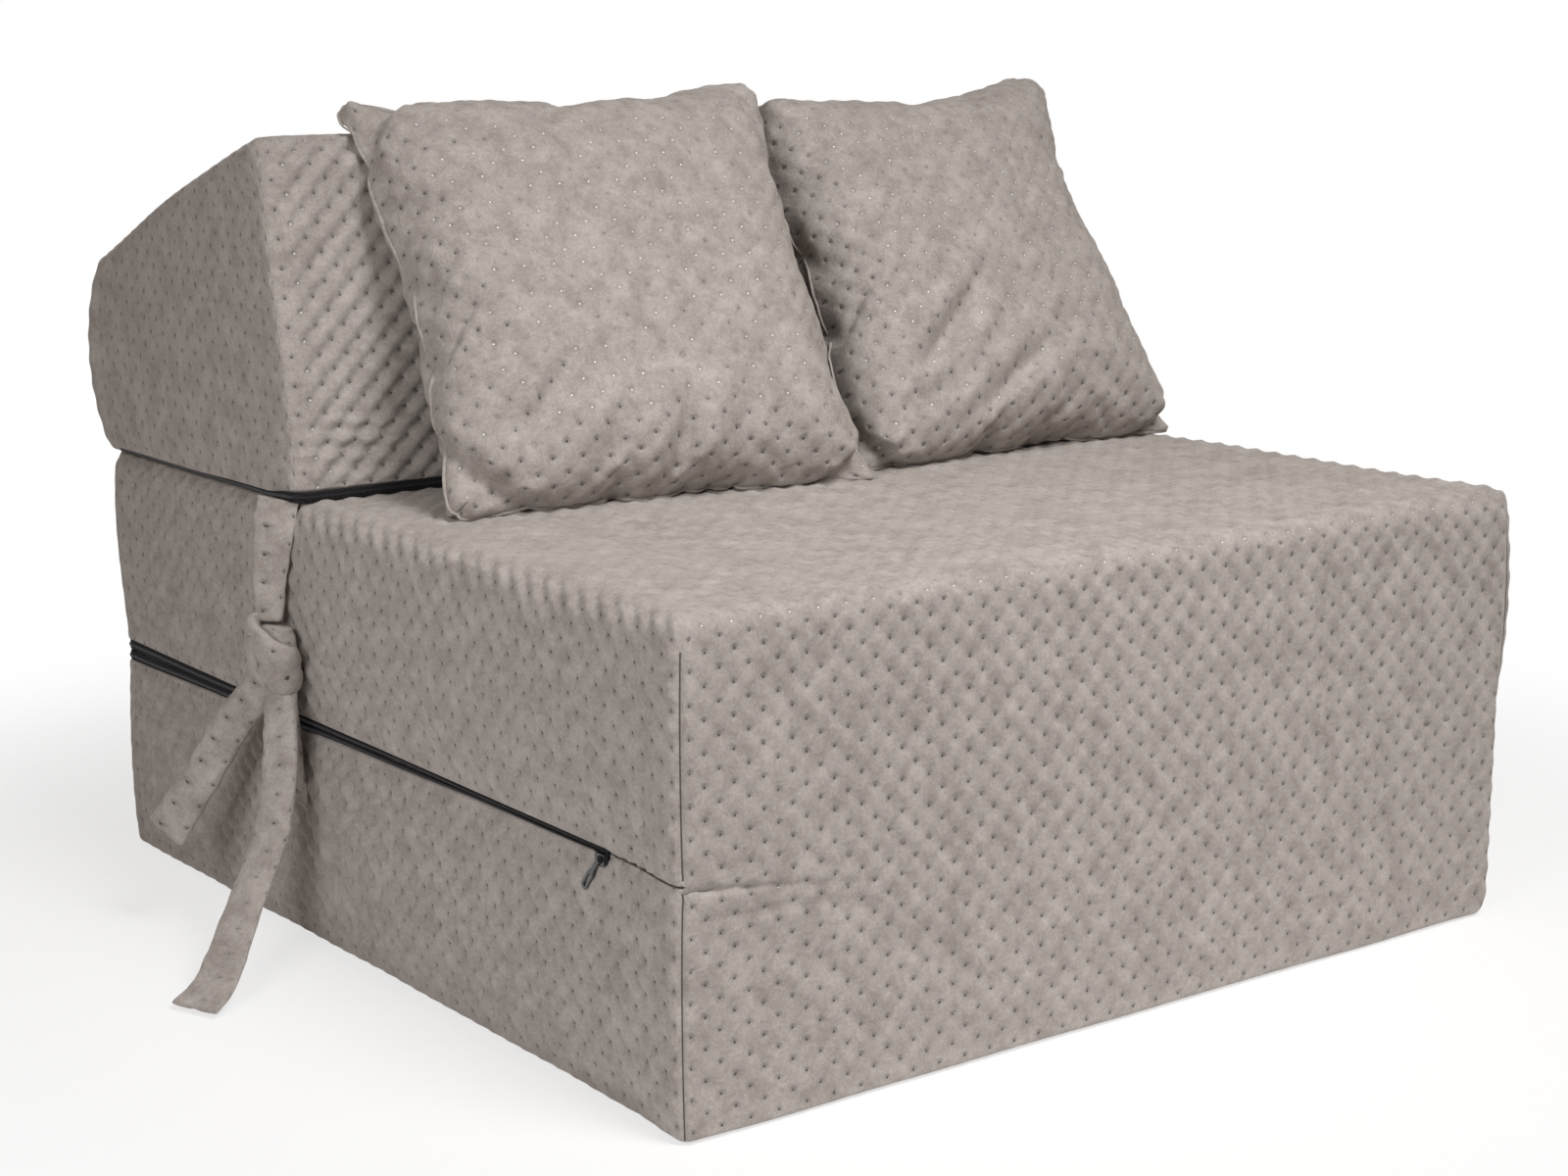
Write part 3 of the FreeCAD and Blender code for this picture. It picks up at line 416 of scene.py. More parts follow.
def lipAt(x, y, sliderSide):  # how far the fabric's lip stands from the meeting line
    along = (y - block["sliderY"]) / (block["halfDeep"] - block["sliderY"])
    lip = block["lipFront"] + (block["lipRear"] - block["lipFront"]) * np.clip(along, 0, 1) ** 1.3
    lip *= smoothStep(y, block["sliderY"] - 0.016, block["sliderY"] - 0.002)
    room = np.exp(-((y - block["sliderY"]) / 0.0085) ** 2) * (x * sliderSide > 0)
    return np.maximum(lip, 0.0092 * room)


def pointFabric(fabric, faces, count):  # one fabric place for each point, from its faces' corners
    own = np.zeros((count, 2))
    for k in range(4):
        own[faces[:, k]] = fabric[:, k]
    return own


def blockFabric(points, panels, faces, top):
    # unrolled cloth: the top runs on over the front, rear and sides, and only the corners are sewn
    w, d = block["halfWide"], block["halfDeep"]
    corner = points[faces]
    x, y, fall = corner[..., 0], corner[..., 1], top - corner[..., 2]
    u, v = x.copy(), y.copy()
    for panel, way in ((0, -1), (1, 1)):
        u = np.where(panels[:, None] == panel, way * (w + fall), u)
    for panel, way in ((2, -1), (3, 1)):
        v = np.where(panels[:, None] == panel, way * (d + fall), v)
    return np.stack([u, v], -1)


def blockCover(name, low, high, lowEdge, highEdge, zipAt, sliderSide, shape):
    w, d = block["halfWide"], block["halfDeep"]
    isBase = zipAt == high
    xs = stepped(-w, w, block["step"], edgeSteps, edgeSteps)
    ys = stepped(-d, d, block["step"], edgeSteps, edgeSteps)
    belowSteps, aboveSteps = (edgeSteps, lipSteps) if isBase else (lipSteps, edgeSteps)
    zs = stepped(low, high, block["step"], belowSteps, aboveSteps)
    flat, faces, panels = boxLattice(xs, ys, zs)
    fabric = blockFabric(flat, panels, faces, 2 * block["layer"])
    ownFabric = pointFabric(fabric, faces, len(flat))
    points, out = roundBox(flat, np.array([-w, -d, low]), np.array([w, d, high]), block["corner"],
                           lowEdge, highEdge)
    fromSeam = np.hypot(w - np.abs(flat[:, 0]), d - np.abs(flat[:, 1]))
    fromZip = np.abs(flat[:, 2] - zipAt)
    onCap = np.minimum(w - np.abs(flat[:, 0]), d - np.abs(flat[:, 1]))
    ahead, aside, up = -out[:, 1], np.abs(out[:, 0]), np.abs(out[:, 2])
    lip = lipAt(flat[:, 0], flat[:, 1], sliderSide)
    meeting = (fromZip < 1e-6) & (onCap > 1e-6)
    forward, sideways = smoothStep(ahead, 0.5, 0.9), smoothStep(aside, 0.5, 0.9)
    slant = block["frontSlant"] * forward + block["sideSlant"] * sideways * np.sign(out[:, 0])
    patchy = 1 + 0.45 * unevenness(points, 0.30, 5)
    calm = smoothStep(fromSeam, 0, 0.011)
    calmAtZip = np.maximum(smoothStep(fromZip, lip + 0.002, lip + 0.011), forward)
    calmAtZip = np.where(meeting, 1, calmAtZip)
    fuller = 1 + (block["baseFuller"] if isBase else block["seatFuller"]) * sideways
    quilt = quiltRise(ownFabric, slant)
    quilt *= 1 - sideways * (0.8 - 0.8 * smoothStep(d - flat[:, 1], 0.005, 0.06))
    # flat cloth under the pulls, and where the seat's pull passes over the base
    room = np.exp(-((flat[:, 1] - block["sliderY"] + 0.006) / 0.022) ** 4)
    room = np.where(isBase & (flat[:, 0] > 0), 1, room)
    quilt *= 1 - 0.9 * sideways * room * smoothStep(0.062 - np.abs(flat[:, 2] - block["layer"]), 0, 0.014)
    if isBase:  # stretched flat round the foot
        quilt *= 0.15 + 0.85 * smoothStep(flat[:, 2], 0.004, 0.028)
    rise = block["puff"] * fuller * patchy * quilt * calm * calmAtZip
    rise -= np.where(meeting, 1.6 * block["puff"] + 0.0002, block["sunk"] * np.maximum(calmAtZip, 0.4))
    loose = np.where(meeting, 0, smoothStep(fromZip, 0, 0.03) * (1 - ahead) + ahead)
    rise += block["wander"] * unevenness(points, 0.16, 3) * loose
    rise -= block["seamDip"] * (1 - smoothStep(fromSeam, 0.0005, 0.005)) * (1 - up)
    mouth = 1 - smoothStep(fromZip, lip - 0.0004, lip + 0.0014)
    mouth *= smoothStep(lip, 0.0004, 0.0014) * (1 - smoothStep(onCap, 0, 0.02))
    swell = ((flat[:, 2] - (low + high) / 2) / ((high - low) / 2)) ** 2
    points[:, 0] *= 1 - crownAt(flat[:, 1]) / w * swell
    points += out * rise[:, None]
    points[:, :2] -= out[:, :2] * (block["zipDeep"] * mouth)[:, None]
    for start, end, deep in creases:
        gap, _ = alongLine(points[:, 0], points[:, 2], (start, end))
        press = deep * (np.exp(-(gap / 0.0022) ** 2) - 0.4 * np.exp(-((gap - 0.007) / 0.004) ** 2))
        points[:, 1] += smoothStep(ahead, 0.3, 0.9) * press
    points = shape(points, flat, out)
    sharp = (np.abs(flat[:, 1] + d) < 1e-6) & (np.abs(flat[:, 2] - zipAt) < 1e-6)
    normals = pointNormals(points, faces)
    bare = 0.02 * smoothStep(flat[:, 2], 2 * block["layer"] - 0.022, 2 * block["layer"] - 0.016)
    fold = np.where(meeting, 0.02, 0)
    return makePiece(name, points, faces, velourCloth, fabric,
                     clothFields(normals, fromSeam + bare + fold, cloudGlints(normals)), sharp)


def alongLine(x, z, ends):  # distance to a line on a panel, and the share of the way along it
    start, end = np.array(ends[0]), np.array(ends[1])
    run = end - start
    share = ((x - start[0]) * run[0] + (z - start[1]) * run[1]) / (run @ run)
    nearest = start + np.clip(share, 0, 1)[:, None] * run
    return np.hypot(x - nearest[:, 0], z - nearest[:, 1]), share


# pressed into the front: from x, z to x, z, and how deep
creases = (((-0.402, 0.1735), (-0.346, 0.1668), 0.0022), ((-0.346, 0.1668), (-0.243, 0.1509), 0.0013),
           ((-0.380, 0.1506), (-0.284, 0.1453), 0.0010))


def baseShape(points, flat, out):
    # the right side stands in a little towards the floor, and its lower edge is rounded off
    drawn = 0.005 * (1 - flat[:, 2] / block["layer"]) * smoothStep(out[:, 0], 0.2, 0.8)
    drawn += 0.009 * np.clip(1 - flat[:, 2] / 0.018, 0, 1) ** 2 * smoothStep(flat[:, 0], 0.35, 0.402)
    points[:, 0] -= drawn
    return points


def seatShape(points, flat, out):
    left = smoothStep(-out[:, 0], 0.4, 0.9)
    # short tucks where the slider pulls on the cloth
    gather = np.exp(-((flat[:, 1] + 0.368) / 0.028) ** 2) * (1 - smoothStep(flat[:, 2], 0.185, 0.255))
    tucks = np.sin(flat[:, 1] * 2 * math.pi / 0.0125 + 40 * (flat[:, 2] - 0.2))
    points[:, 0] -= left * gather * 0.0014 * tucks
    # a dent beside each front corner's seam head
    for side in (-1, 1):
        spot = np.array([side * 0.388, -0.424, 0.336])
        points -= out * (0.0022 * np.exp(-(np.linalg.norm(points - spot, axis=1) / 0.008) ** 2))[:, None]
    # the right side bulges under its load, and the cloth is fuller at the rear under the backrest
    right = smoothStep(out[:, 0], 0.3, 0.9) * np.sin(np.pi * (flat[:, 2] - layer) / layer)
    points[:, 0] += 0.008 * right
    rear = smoothStep(flat[:, 1], 0.36, 0.425) * smoothStep(flat[:, 2], 0.20, 0.33)
    points[:, 0] += np.sign(flat[:, 0]) * 0.005 * rear * np.abs(out[:, 0])
    points[:, 1] += 0.003 * rear * np.maximum(out[:, 1], 0)
    return points


print("chair bed: block covers")
layer = block["layer"]
foot = block["foot"]
baseCover = blockCover("baseCover", 0.0, layer, (foot, foot, foot), (0.00002, 0.0015, 0.0015), layer, -1,
                       baseShape)
seatCover = blockCover("seatCover", layer, 2 * layer, (0.00002, 0.0015, 0.0015), (0.018, 0.015, 0.004),
                       layer, 1, seatShape)
for piece, node, body, anchor, keep in ((baseCover, "base_cover", "base", (0, 0.425, 0), 0.9962),
                                        (seatCover, "seat_cover", "seat", (0, 0, 0), 0.99)):
    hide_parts(node)
    # opened out, the blocks press against each other
    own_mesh(piece)
    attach(piece, body)


# Backrest cover: the same lattice, bent to the wedge's outline

wedge = {
    "front": 0.085,      # y of its front foot
    "rear": 0.434,
    "floor": 0.3503,
    "high": 0.279,
    "rearHigh": 0.166,
    "setback": 0.048,    # the front face leans back this far
    "crown": 0.006,
    "rearCrown": 0.015,
    "corner": 0.016,
    "seamIn": 0.013,     # from each side to the seam on the front
    "zipMouth": 0.0082,
    "sideMouth": 0.0042,
    "sag": 0.0030,       # the sides' lower edge hangs a little
}


def backrestCover():
    w = block["halfWide"]
    deep, high = wedge["rear"] - wedge["front"], wedge["high"]
    xs = stepped(-w, w, block["step"], edgeSteps, edgeSteps)
    ys = stepped(0, deep, block["step"], edgeSteps, edgeSteps)
    zs = stepped(0, high, block["step"], lipSteps, edgeSteps)
    flat, faces, panels = boxLattice(xs, ys, zs)
    points, out = roundBox(flat, np.array([-w, 0, 0]), np.array([w, deep, high]), wedge["corner"],
                           (0.0015, 0.0015, 0.0015), (0.015, 0.014, 0.018))
    # cloth runs up the front and over the slope to the rear, and the two ends are sewn in
    corner = flat[faces]
    u, v = corner[..., 0].copy(), corner[..., 1] * 1.07 + high
    v = np.where(panels[:, None] == 2, corner[..., 2], v)
    v = np.where(panels[:, None] == 3, high + deep * 1.07 + (high - corner[..., 2]) * 0.58, v)
    ends = (panels == 0) | (panels == 1)
    share = corner[..., 1] / deep
    u = np.where(ends[:, None], corner[..., 1], u)
    v = np.where(ends[:, None], corner[..., 2] * (1 + (wedge["rearHigh"] / high - 1) * share), v)
    fabric = np.stack([u, v], -1)
    ownFabric = pointFabric(fabric, faces, len(points))
    x, y, z = flat.T
    side = w - np.abs(x)
    ahead, aside, up = -out[:, 1], np.abs(out[:, 0]), out[:, 2]
    seamOff = np.abs(side - wedge["seamIn"])
    fromSeam = np.minimum(np.hypot(seamOff, np.minimum(y, deep - y)), np.hypot(seamOff, high - z))
    calm = 0.35 + 0.65 * smoothStep(fromSeam, 0, 0.009)
    calmAtZip = smoothStep(z, 0.008, 0.018)
    slant = -0.5 * smoothStep(ahead, 0.3, 0.8) + 0.3 * aside * np.sign(x)
    puff = block["puff"] * (0.35 + 1.2 * smoothStep(ahead, 0.6, 0.95) * smoothStep(side, 0.010, 0.022))
    rise = puff * (1 + 0.3 * unevenness(points, 0.25, 5)) * quiltRise(ownFabric, slant) * calm * calmAtZip
    rise += 0.0018 * unevenness(points, 0.13, 21) * smoothStep(z, 0.0, 0.03) - block["sunk"]
    # swell of the front, the slope, the rear and the sides
    acrossFront = 1 - (2 * z / high - 1) ** 2
    acrossSlope = 1 - (2 * y / deep - 1) ** 2
    rise += wedge["crown"] * acrossFront * smoothStep(ahead, 0.2, 0.9)
    rise += wedge["crown"] * acrossSlope * smoothStep(up, 0.2, 0.9)
    rise += wedge["rearCrown"] * np.sqrt(np.clip(acrossFront, 0, 1)) * smoothStep(out[:, 1], 0.1, 0.8)
    rise += 0.007 * acrossFront * aside * smoothStep(y, 0.0, deep)
    # low folds across the front near its left foot
    folds = np.exp(-((x + 0.345) / 0.045) ** 2) * np.exp(-((z - 0.045) / 0.022) ** 2)
    rise += 0.0022 * folds * np.sin((z + 0.08 * x) * 2 * math.pi / 0.014) * smoothStep(ahead, 0.5, 0.9)
    gape = wedge["zipMouth"] + (wedge["sideMouth"] - wedge["zipMouth"]) * smoothStep(y, 0.01, 0.05)
    mouth = 1 - smoothStep(z, gape - 0.0006, gape + 0.0014)
    mouth *= 1 - smoothStep(y, deep - 0.03, deep - 0.018)
    mouth *= 1 - smoothStep(np.minimum(side, np.minimum(y, deep - y)), 0, 0.02)
    points += out * rise[:, None]
    points[:, :2] -= out[:, :2] * (block["zipDeep"] * mouth)[:, None]
    # from the box to the wedge's outline
    across, up = points[:, 1] / deep, points[:, 2] / high
    lean = wedge["setback"] * up * (1 - across)
    tall = high + (wedge["rearHigh"] - high) * np.clip(
        (points[:, 1] + lean - wedge["setback"]) / (deep - wedge["setback"]), -0.02, 1.02)
    z = points[:, 2] * tall / high
    sagging = wedge["sag"] * np.sin(np.pi * np.clip(flat[:, 1] / deep, 0, 1)) * smoothStep(aside, 0.5, 0.9)
    z -= sagging * (1 - smoothStep(flat[:, 2], 0.0, 0.12)) * smoothStep(flat[:, 2], 0.0, 0.006)
    points = np.stack([points[:, 0], wedge["front"] + points[:, 1] + lean, wedge["floor"] + z], -1)
    normals = pointNormals(points, faces)
    # painted highlights: a line of glints drawn down the front's upright edges
    edgeGlint = np.exp(-((side - 0.022) / 0.009) ** 2) * smoothStep(ahead, 0.3, 0.8)
    faintSeam = fromSeam + 0.0011
    return makePiece("backrestCover", points, faces, velourCloth, fabric,
                     clothFields(normals, faintSeam, cloudGlints(normals) + 1.2 * edgeGlint))


print("chair bed: backrest cover")
backCover = backrestCover()
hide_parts("backrest_cover")
# opened out, its swollen rear presses against the seat
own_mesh(backCover)
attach(backCover, "backrest")


# Swept pieces: straps, piping, zip tapes

def smoothPath(stations, count):  # Catmull-Rom through rows of numbers
    rows = np.asarray(stations, float)
    rows = np.concatenate([[2 * rows[0] - rows[1]], rows, [2 * rows[-1] - rows[-2]]])
    spots = np.linspace(0, len(rows) - 3 - 1e-9, count)
    n = spots.astype(int)
    t = (spots - n)[:, None]
    a, b, c, d = rows[n], rows[n + 1], rows[n + 2], rows[n + 3]
    bend, turn = 2 * a - 5 * b + 4 * c - d, 3 * b - a - 3 * c + d
    return 0.5 * (2 * b + (c - a) * t + bend * t ** 2 + turn * t ** 3)


def tube(centres, across, wides, thicks, turns, squareness=0.75, caps=True):
    # a soft flat section carried along a line; also gives the cloth's own coordinates
    centres = np.asarray(centres, float)
    run = np.gradient(centres, axis=0)
    run /= np.linalg.norm(run, axis=1, keepdims=True)
    across = across - run * np.sum(across * run, axis=1, keepdims=True)
    across /= np.linalg.norm(across, axis=1, keepdims=True)
    normal = np.cross(run, across)
    angle = np.arange(turns) * 2 * math.pi / turns
    c, s = np.cos(angle), np.sin(angle)
    c, s = np.sign(c) * np.abs(c) ** squareness, np.sign(s) * np.abs(s) ** squareness
    points = (centres[:, None] + across[:, None] * (wides[:, None] / 2 * c)[..., None]
              + normal[:, None] * (thicks[:, None] / 2 * s)[..., None])
    rings = len(centres)
    ring, turn = np.meshgrid(np.arange(rings - 1), np.arange(turns), indexing="ij")
    after = (turn + 1) % turns
    faces = np.stack([ring * turns + turn, ring * turns + after,
                      (ring + 1) * turns + after, (ring + 1) * turns + turn], -1).reshape(-1, 4)
    length = np.concatenate([[0], np.cumsum(np.linalg.norm(np.diff(centres, axis=0), axis=1))])
    girth = angle / (2 * math.pi) * 2 * wides.mean()
    fabric = np.stack(np.broadcast_arrays(girth[None, :], length[:, None]), -1).reshape(-1, 2)
    corners = fabric[faces]
    wrap = (turn.ravel() == turns - 1)
    corners[wrap, 1, 0] += 2 * wides.mean()
    corners[wrap, 2, 0] += 2 * wides.mean()
    points = points.reshape(-1, 3)
    if caps:
        quads = []
        for start in (0, (rings - 1) * turns):
            for k in range(turns // 2 - 1):
                ids = [start + k, start + k + 1, start + turns - k - 2, start + turns - k - 1]
                quads.append(ids if start else ids[::-1])
        faces = np.concatenate([faces, np.array(quads)])
        corners = np.concatenate([corners, fabric[np.array(quads)]])
    return points, faces, corners


def joined(parts):  # several (points, faces, corners) as one
    points, faces, corners, base = [], [], [], 0
    for p, f, c in parts:
        points.append(p)
        faces.append(f + base)
        corners.append(c)
        base += len(p)
    return np.concatenate(points), np.concatenate(faces), np.concatenate(corners)


ties = {
    "y": 0.105,          # middle of the strap where it leaves the backrest
    "knotY": 0.092,
    "knotZ": 0.229,
    "turns": 40,         # points round a strap
    "spacing": 0.0022,   # between its rings
    "wrinkle": 0.0007,
}


def tiePiece(name, points, faces, corners, glint):
    piece = makePiece(name, points, faces, velourCloth, corners,
                      clothFields(pointNormals(points, faces), 1.0, glint))
    return piece


def strapPiece(name, side, stations, outTurn, hem=(), groove=0.0, seed=1, twist=0.0, squareness=0.75):
    # stations: out from the side plane, y, z, wide, thick, all in millimetres
    rows = np.array(stations, float) / 1000
    length = np.linalg.norm(np.diff(rows[:, :3], axis=0), axis=1).sum()
    rows = smoothPath(rows, max(12, int(length / ties["spacing"])))
    centres = np.stack([side * (block["halfWide"] + rows[:, 0]), rows[:, 1], rows[:, 2]], -1)
    wides, thicks = rows[:, 3].copy(), rows[:, 4].copy()
    across = np.tile([side * outTurn, 1.0, 0.0], (len(rows), 1))
    across[:, 0] += side * twist * np.linspace(0, 1, len(rows)) ** 0.7
    for end in hem:  # a folded hem closes the strap's end softly
        reach = np.arange(len(rows)) if end == 0 else np.arange(len(rows))[::-1]
        close = np.sqrt(1 - (1 - np.clip((reach + 0.4) * ties["spacing"] / 0.0035, 0, 1)) ** 2)
        thicks *= 0.25 + 0.75 * close
        wides *= 0.93 + 0.07 * close
    points, faces, corners = tube(centres, across, wides, thicks, ties["turns"], squareness)
    rings = len(rows)
    shaped = points.reshape(rings, ties["turns"], 3)
    angle = np.arange(ties["turns"]) * 2 * math.pi / ties["turns"]
    out = shaped - centres[:, None]
    out /= np.linalg.norm(out, axis=2, keepdims=True) + 1e-9
    fabric = np.stack(np.broadcast_arrays(
        (angle / math.pi * wides.mean())[None, :], (np.arange(rings) * ties["spacing"])[:, None]), -1)
    rise = 0.0011 * quiltRise(fabric)
    rise += ties["wrinkle"] * unevenness(points, 0.021, seed).reshape(rings, -1)
    for middle, share in ((math.pi / 2, 1), (3 * math.pi / 2, 0.4)):
        rise -= groove * share * np.exp(-((angle - middle) / 0.13) ** 2)[None, :]
    points = (shaped + out * rise[..., None]).reshape(-1, 3)
    return tiePiece(name, points, faces, corners, 0.5)


knot = {
    "out": 0.0190,       # its middle from the seat's side
    "rings": 96,
    "turns": 40,
    "wide": 0.043,       # of the wrapped band, and how much wider it gets
    "wider": 0.007,
    "thick": 0.0130,
}


def knotPiece(name, side):
    # the strap's wrap: a full band, higher at the rear than at the front
    middle = np.array([side * (block["halfWide"] + knot["out"]), ties["knotY"] + 0.001,
                       ties["knotZ"] + 0.003])
    turn = np.linspace(0, 2 * math.pi, knot["rings"], endpoint=False)
    ring = np.stack([side * -0.0125 * np.cos(turn), 0.0225 * np.sin(turn),
                     0.0065 * np.sin(turn) - 0.004 * np.cos(turn)], -1) + middle
    ring = np.concatenate([ring, ring[:2]])
    upright = np.tile([side * 0.15, -0.2, 1.0], (len(ring), 1))
    wides = knot["wide"] + knot["wider"] * np.cos(np.linspace(0, 2 * math.pi, len(ring)) - 2.4)
    thicks = np.full(len(ring), knot["thick"])
    points, faces, corners = tube(ring, upright, wides, thicks, knot["turns"], 0.8, caps=False)
    shaped = points.reshape(len(ring), knot["turns"], 3)
    out = shaped - ring[:, None]
    out /= np.linalg.norm(out, axis=2, keepdims=True)
    # a fold of cloth lies along the band where it's pulled tight
    around = np.arange(knot["turns"]) * 2 * math.pi / knot["turns"]
    foldAt = 0.55 * math.pi + 0.25 * np.sin(np.linspace(0, 6, len(ring)))[:, None]
    creased = np.exp(-((around - foldAt) / 0.10) ** 2)
    rise = 0.0010 * unevenness(points, 0.024, 6).reshape(len(ring), -1) - 0.0020 * creased
    rise[-2:] = rise[:2]
    points = (shaped + out * rise[..., None]).reshape(-1, 3)
    return tiePiece(name, points, faces, corners, 0.6)


print("chair bed: tie straps")
y, ky, kz = ties["y"] * 1000, ties["knotY"] * 1000, ties["knotZ"] * 1000
for side, word in ((-1, "Left"), (1, "Right")):
    upper = strapPiece(f"upperStrap{word}", side, (
        (3.5, y + 1, 352, 32, 3.2), (7.0, y + 1, 338, 33, 4.0), (10.5, y + 2, 312, 31, 4.6),
        (13.0, y + 3, 284, 27, 6.0), (15.5, y, 258, 22, 9.0)), 1.0, hem=(0,), seed=4, twist=-0.45)
    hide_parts(f"tie_upper_{word.lower()}")
    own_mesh(upper)
    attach(upper, "backrest")
    lower = [
        strapPiece(f"knotCore{word}", side, (
            (16, ky, kz + 27, 25, 14), (16, ky, kz + 12, 30, 20), (17, ky - 3, kz - 8, 27, 17),
            (20, ky - 10, kz - 26, 27, 13), (24.5, ky - 17, kz - 44, 29, 11),
            (31, ky - 28, kz - 68, 31, 10), (39, ky - 37, 136, 32, 9),
            (49, ky - 44, 106, 32, 8), (63, ky - 49, 82, 32, 7.4),
            (84, ky - 61, 55, 33, 6.8), (105, ky - 77, 31, 35, 6.2), (124, ky - 91, 14.5, 39, 5.6),
            (143, ky - 99, 4.6, 43, 4.6)), 0.4, hem=(1,), groove=0.0016, seed=9),
        strapPiece(f"shortTail{word}", side, (
            (17, ky + 3, kz - 2, 24, 15), (23, ky + 20, kz - 26, 27, 15), (31, ky + 37, kz - 46, 29, 14),
            (41, ky + 51, kz - 70, 29, 13.5), (52, ky + 63, kz - 97, 30, 13),
            (63, ky + 76, kz - 122, 31, 12.5), (74, ky + 90, kz - 148, 34, 11)),
            0.7, hem=(1,), groove=0.0042, seed=13),
        strapPiece(f"tieRoot{word}", side, (
            (0.9, ky, 113, 22, 2.4), (1.6, ky, 124, 24, 2.8), (4.6, ky, 146, 25, 4), (7.4, ky, 184, 25, 5),
            (12.5, ky, kz - 12, 26, 5)), 0.0, hem=(0,), seed=17),
        knotPiece(f"knotWrap{word}", side),
    ]
    for piece in lower:
        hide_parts(f"tie_lower_{word.lower()}")
        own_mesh(piece)
        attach(piece, "base")


# Zips: a tape bent round three sides, a coil down its middle

zips = {
    "pitch": 0.0016,     # from one tooth to the next
    "coil": 0.0029,
    "recess": 0.0011,    # tape below the fabric
    "bend": 0.0095,
    "wave": 0.0003,      # the tape's line wavers this much
}


def roundCorners(way, bend):  # a U of straight runs with quarter bends at its two corners
    start, left, right, end = (np.array(p, float) for p in way)
    path = [start]
    for corner, before, after in ((left, start, right), (right, left, end)):
        toBefore = (before - corner) / np.linalg.norm(before - corner)
        toAfter = (after - corner) / np.linalg.norm(after - corner)
        centre = corner + (toBefore + toAfter) * bend
        for t in np.linspace(0, math.pi / 2, 9):
            path.append(centre - toAfter * bend * math.cos(t) - toBefore * bend * math.sin(t))
    path.append(end)
    path = np.array(path)
    steps = np.concatenate([[0], np.cumsum(np.linalg.norm(np.diff(path, axis=0), axis=1))])
    spots = np.arange(0, steps[-1], zips["pitch"] / 2)
    return np.stack([np.interp(spots, steps, path[:, k]) for k in (0, 1)], -1), spots


def zipPiece(name, way, level, bend, half, inset):
    # level and half: the band's middle height and half height for each point of its line
    line, spots = roundCorners(way, bend)
    run = np.gradient(line, axis=0)
    run /= np.linalg.norm(run, axis=1, keepdims=True)
    out = np.stack([run[:, 1], -run[:, 0]], -1)
    if (out[len(out) // 2] @ (line[len(line) // 2] - line[0])) < 0:
        out = -out
    z, half = level(line, spots), half(line)
    line = line - out * inset(line, z)[:, None]
    centres = np.column_stack([line, z])
    outward = np.column_stack([out, np.zeros(len(out))])
    # each half of the tape is a thin band with a rolled outer edge
    profile = np.array([(0.08, 0.0), (0.45, 0.0002), (0.85, 0.0001), (1.0, -0.0005), (1.0, -0.0012),
                        (0.55, -0.0010), (0.08, -0.0010)])
    count = len(profile)
    parts = []
    for above in (-1, 1):
        rows = centres[:, None] + outward[:, None] * profile[None, :, 1, None]
        rows[..., 2] += above * half[:, None] * profile[None, :, 0]
        i, j = np.meshgrid(np.arange(0, len(rows) - 2, 2), np.arange(count), indexing="ij")
        after = (j + 1) % count
        faces = np.stack([i * count + j, (i + 2) * count + j, (i + 2) * count + after, i * count + after],
                         -1).reshape(-1, 4)
        faces = faces if above > 0 else faces[:, ::-1]
        parts.append((rows.reshape(-1, 3), faces, np.zeros((len(faces), 4, 2))))
    points, faces, _ = joined(parts)
    used, faces = np.unique(faces, return_inverse=True)
    tape = makePiece(f"{name}Tape", points[used], faces.reshape(-1, 4), zipTape)
    # teeth from both sides, each a slim lozenge that reaches past the middle
    lozenge = np.array([(a, b, c) for a in (-1, 1) for b in (-1, 1) for c in (0, 1)], float)
    teeth = []
    for k in range(1, len(centres) - 2):
        above = 1 if k % 2 else -1
        tall = min(zips["coil"] / 2, 0.6 * half[k])
        core = centres[k] + outward[k] * 0.0001
        tooth = core + lozenge[:, :1] * np.array([*run[k], 0]) * 0.00034 * (1 - 0.25 * lozenge[:, 2:])
        tooth += outward[k] * 0.0010 * lozenge[:, 2:]
        tooth[:, 2] += above * tall * np.where(lozenge[:, 1] > 0, 1.0, -0.22) * (1 - 0.22 * lozenge[:, 2])
        teeth.append(tooth)
    teeth = np.array(teeth)
    shell = np.array([(0, 1, 3, 2), (4, 6, 7, 5), (0, 4, 5, 1), (2, 3, 7, 6), (1, 5, 7, 3), (0, 2, 6, 4)])
    faces = (shell[None] + 8 * np.arange(len(teeth))[:, None, None]).reshape(-1, 4)
    return tape, makePiece(f"{name}Coil", teeth.reshape(-1, 3), faces, zipCoil)


def blockZip(name, way, sliderSide):  # way: 1 above the meeting line, -1 below it
    w, d = block["halfWide"], block["halfDeep"]
    front = block["sliderY"] - 0.006
    path = ((-w, front), (-w, d), (w, d), (w, front))

    def half(line):
        return np.maximum(lipAt(line[:, 0], line[:, 1], sliderSide) / 2, 0.0006)

    def level(line, spots):
        return layer + way * (half(line) + zips["wave"] + zips["wave"] * np.sin(spots * 29))

    def inset(line, z):
        crown = crownAt(line[:, 1])
        middle = (1.5 if way > 0 else 0.5) * layer
        return zips["recess"] + crown * ((z - middle) / (layer / 2)) ** 2 * (np.abs(line[:, 0]) > w - 0.012)

    return zipPiece(name, path, level, zips["bend"], half, inset)


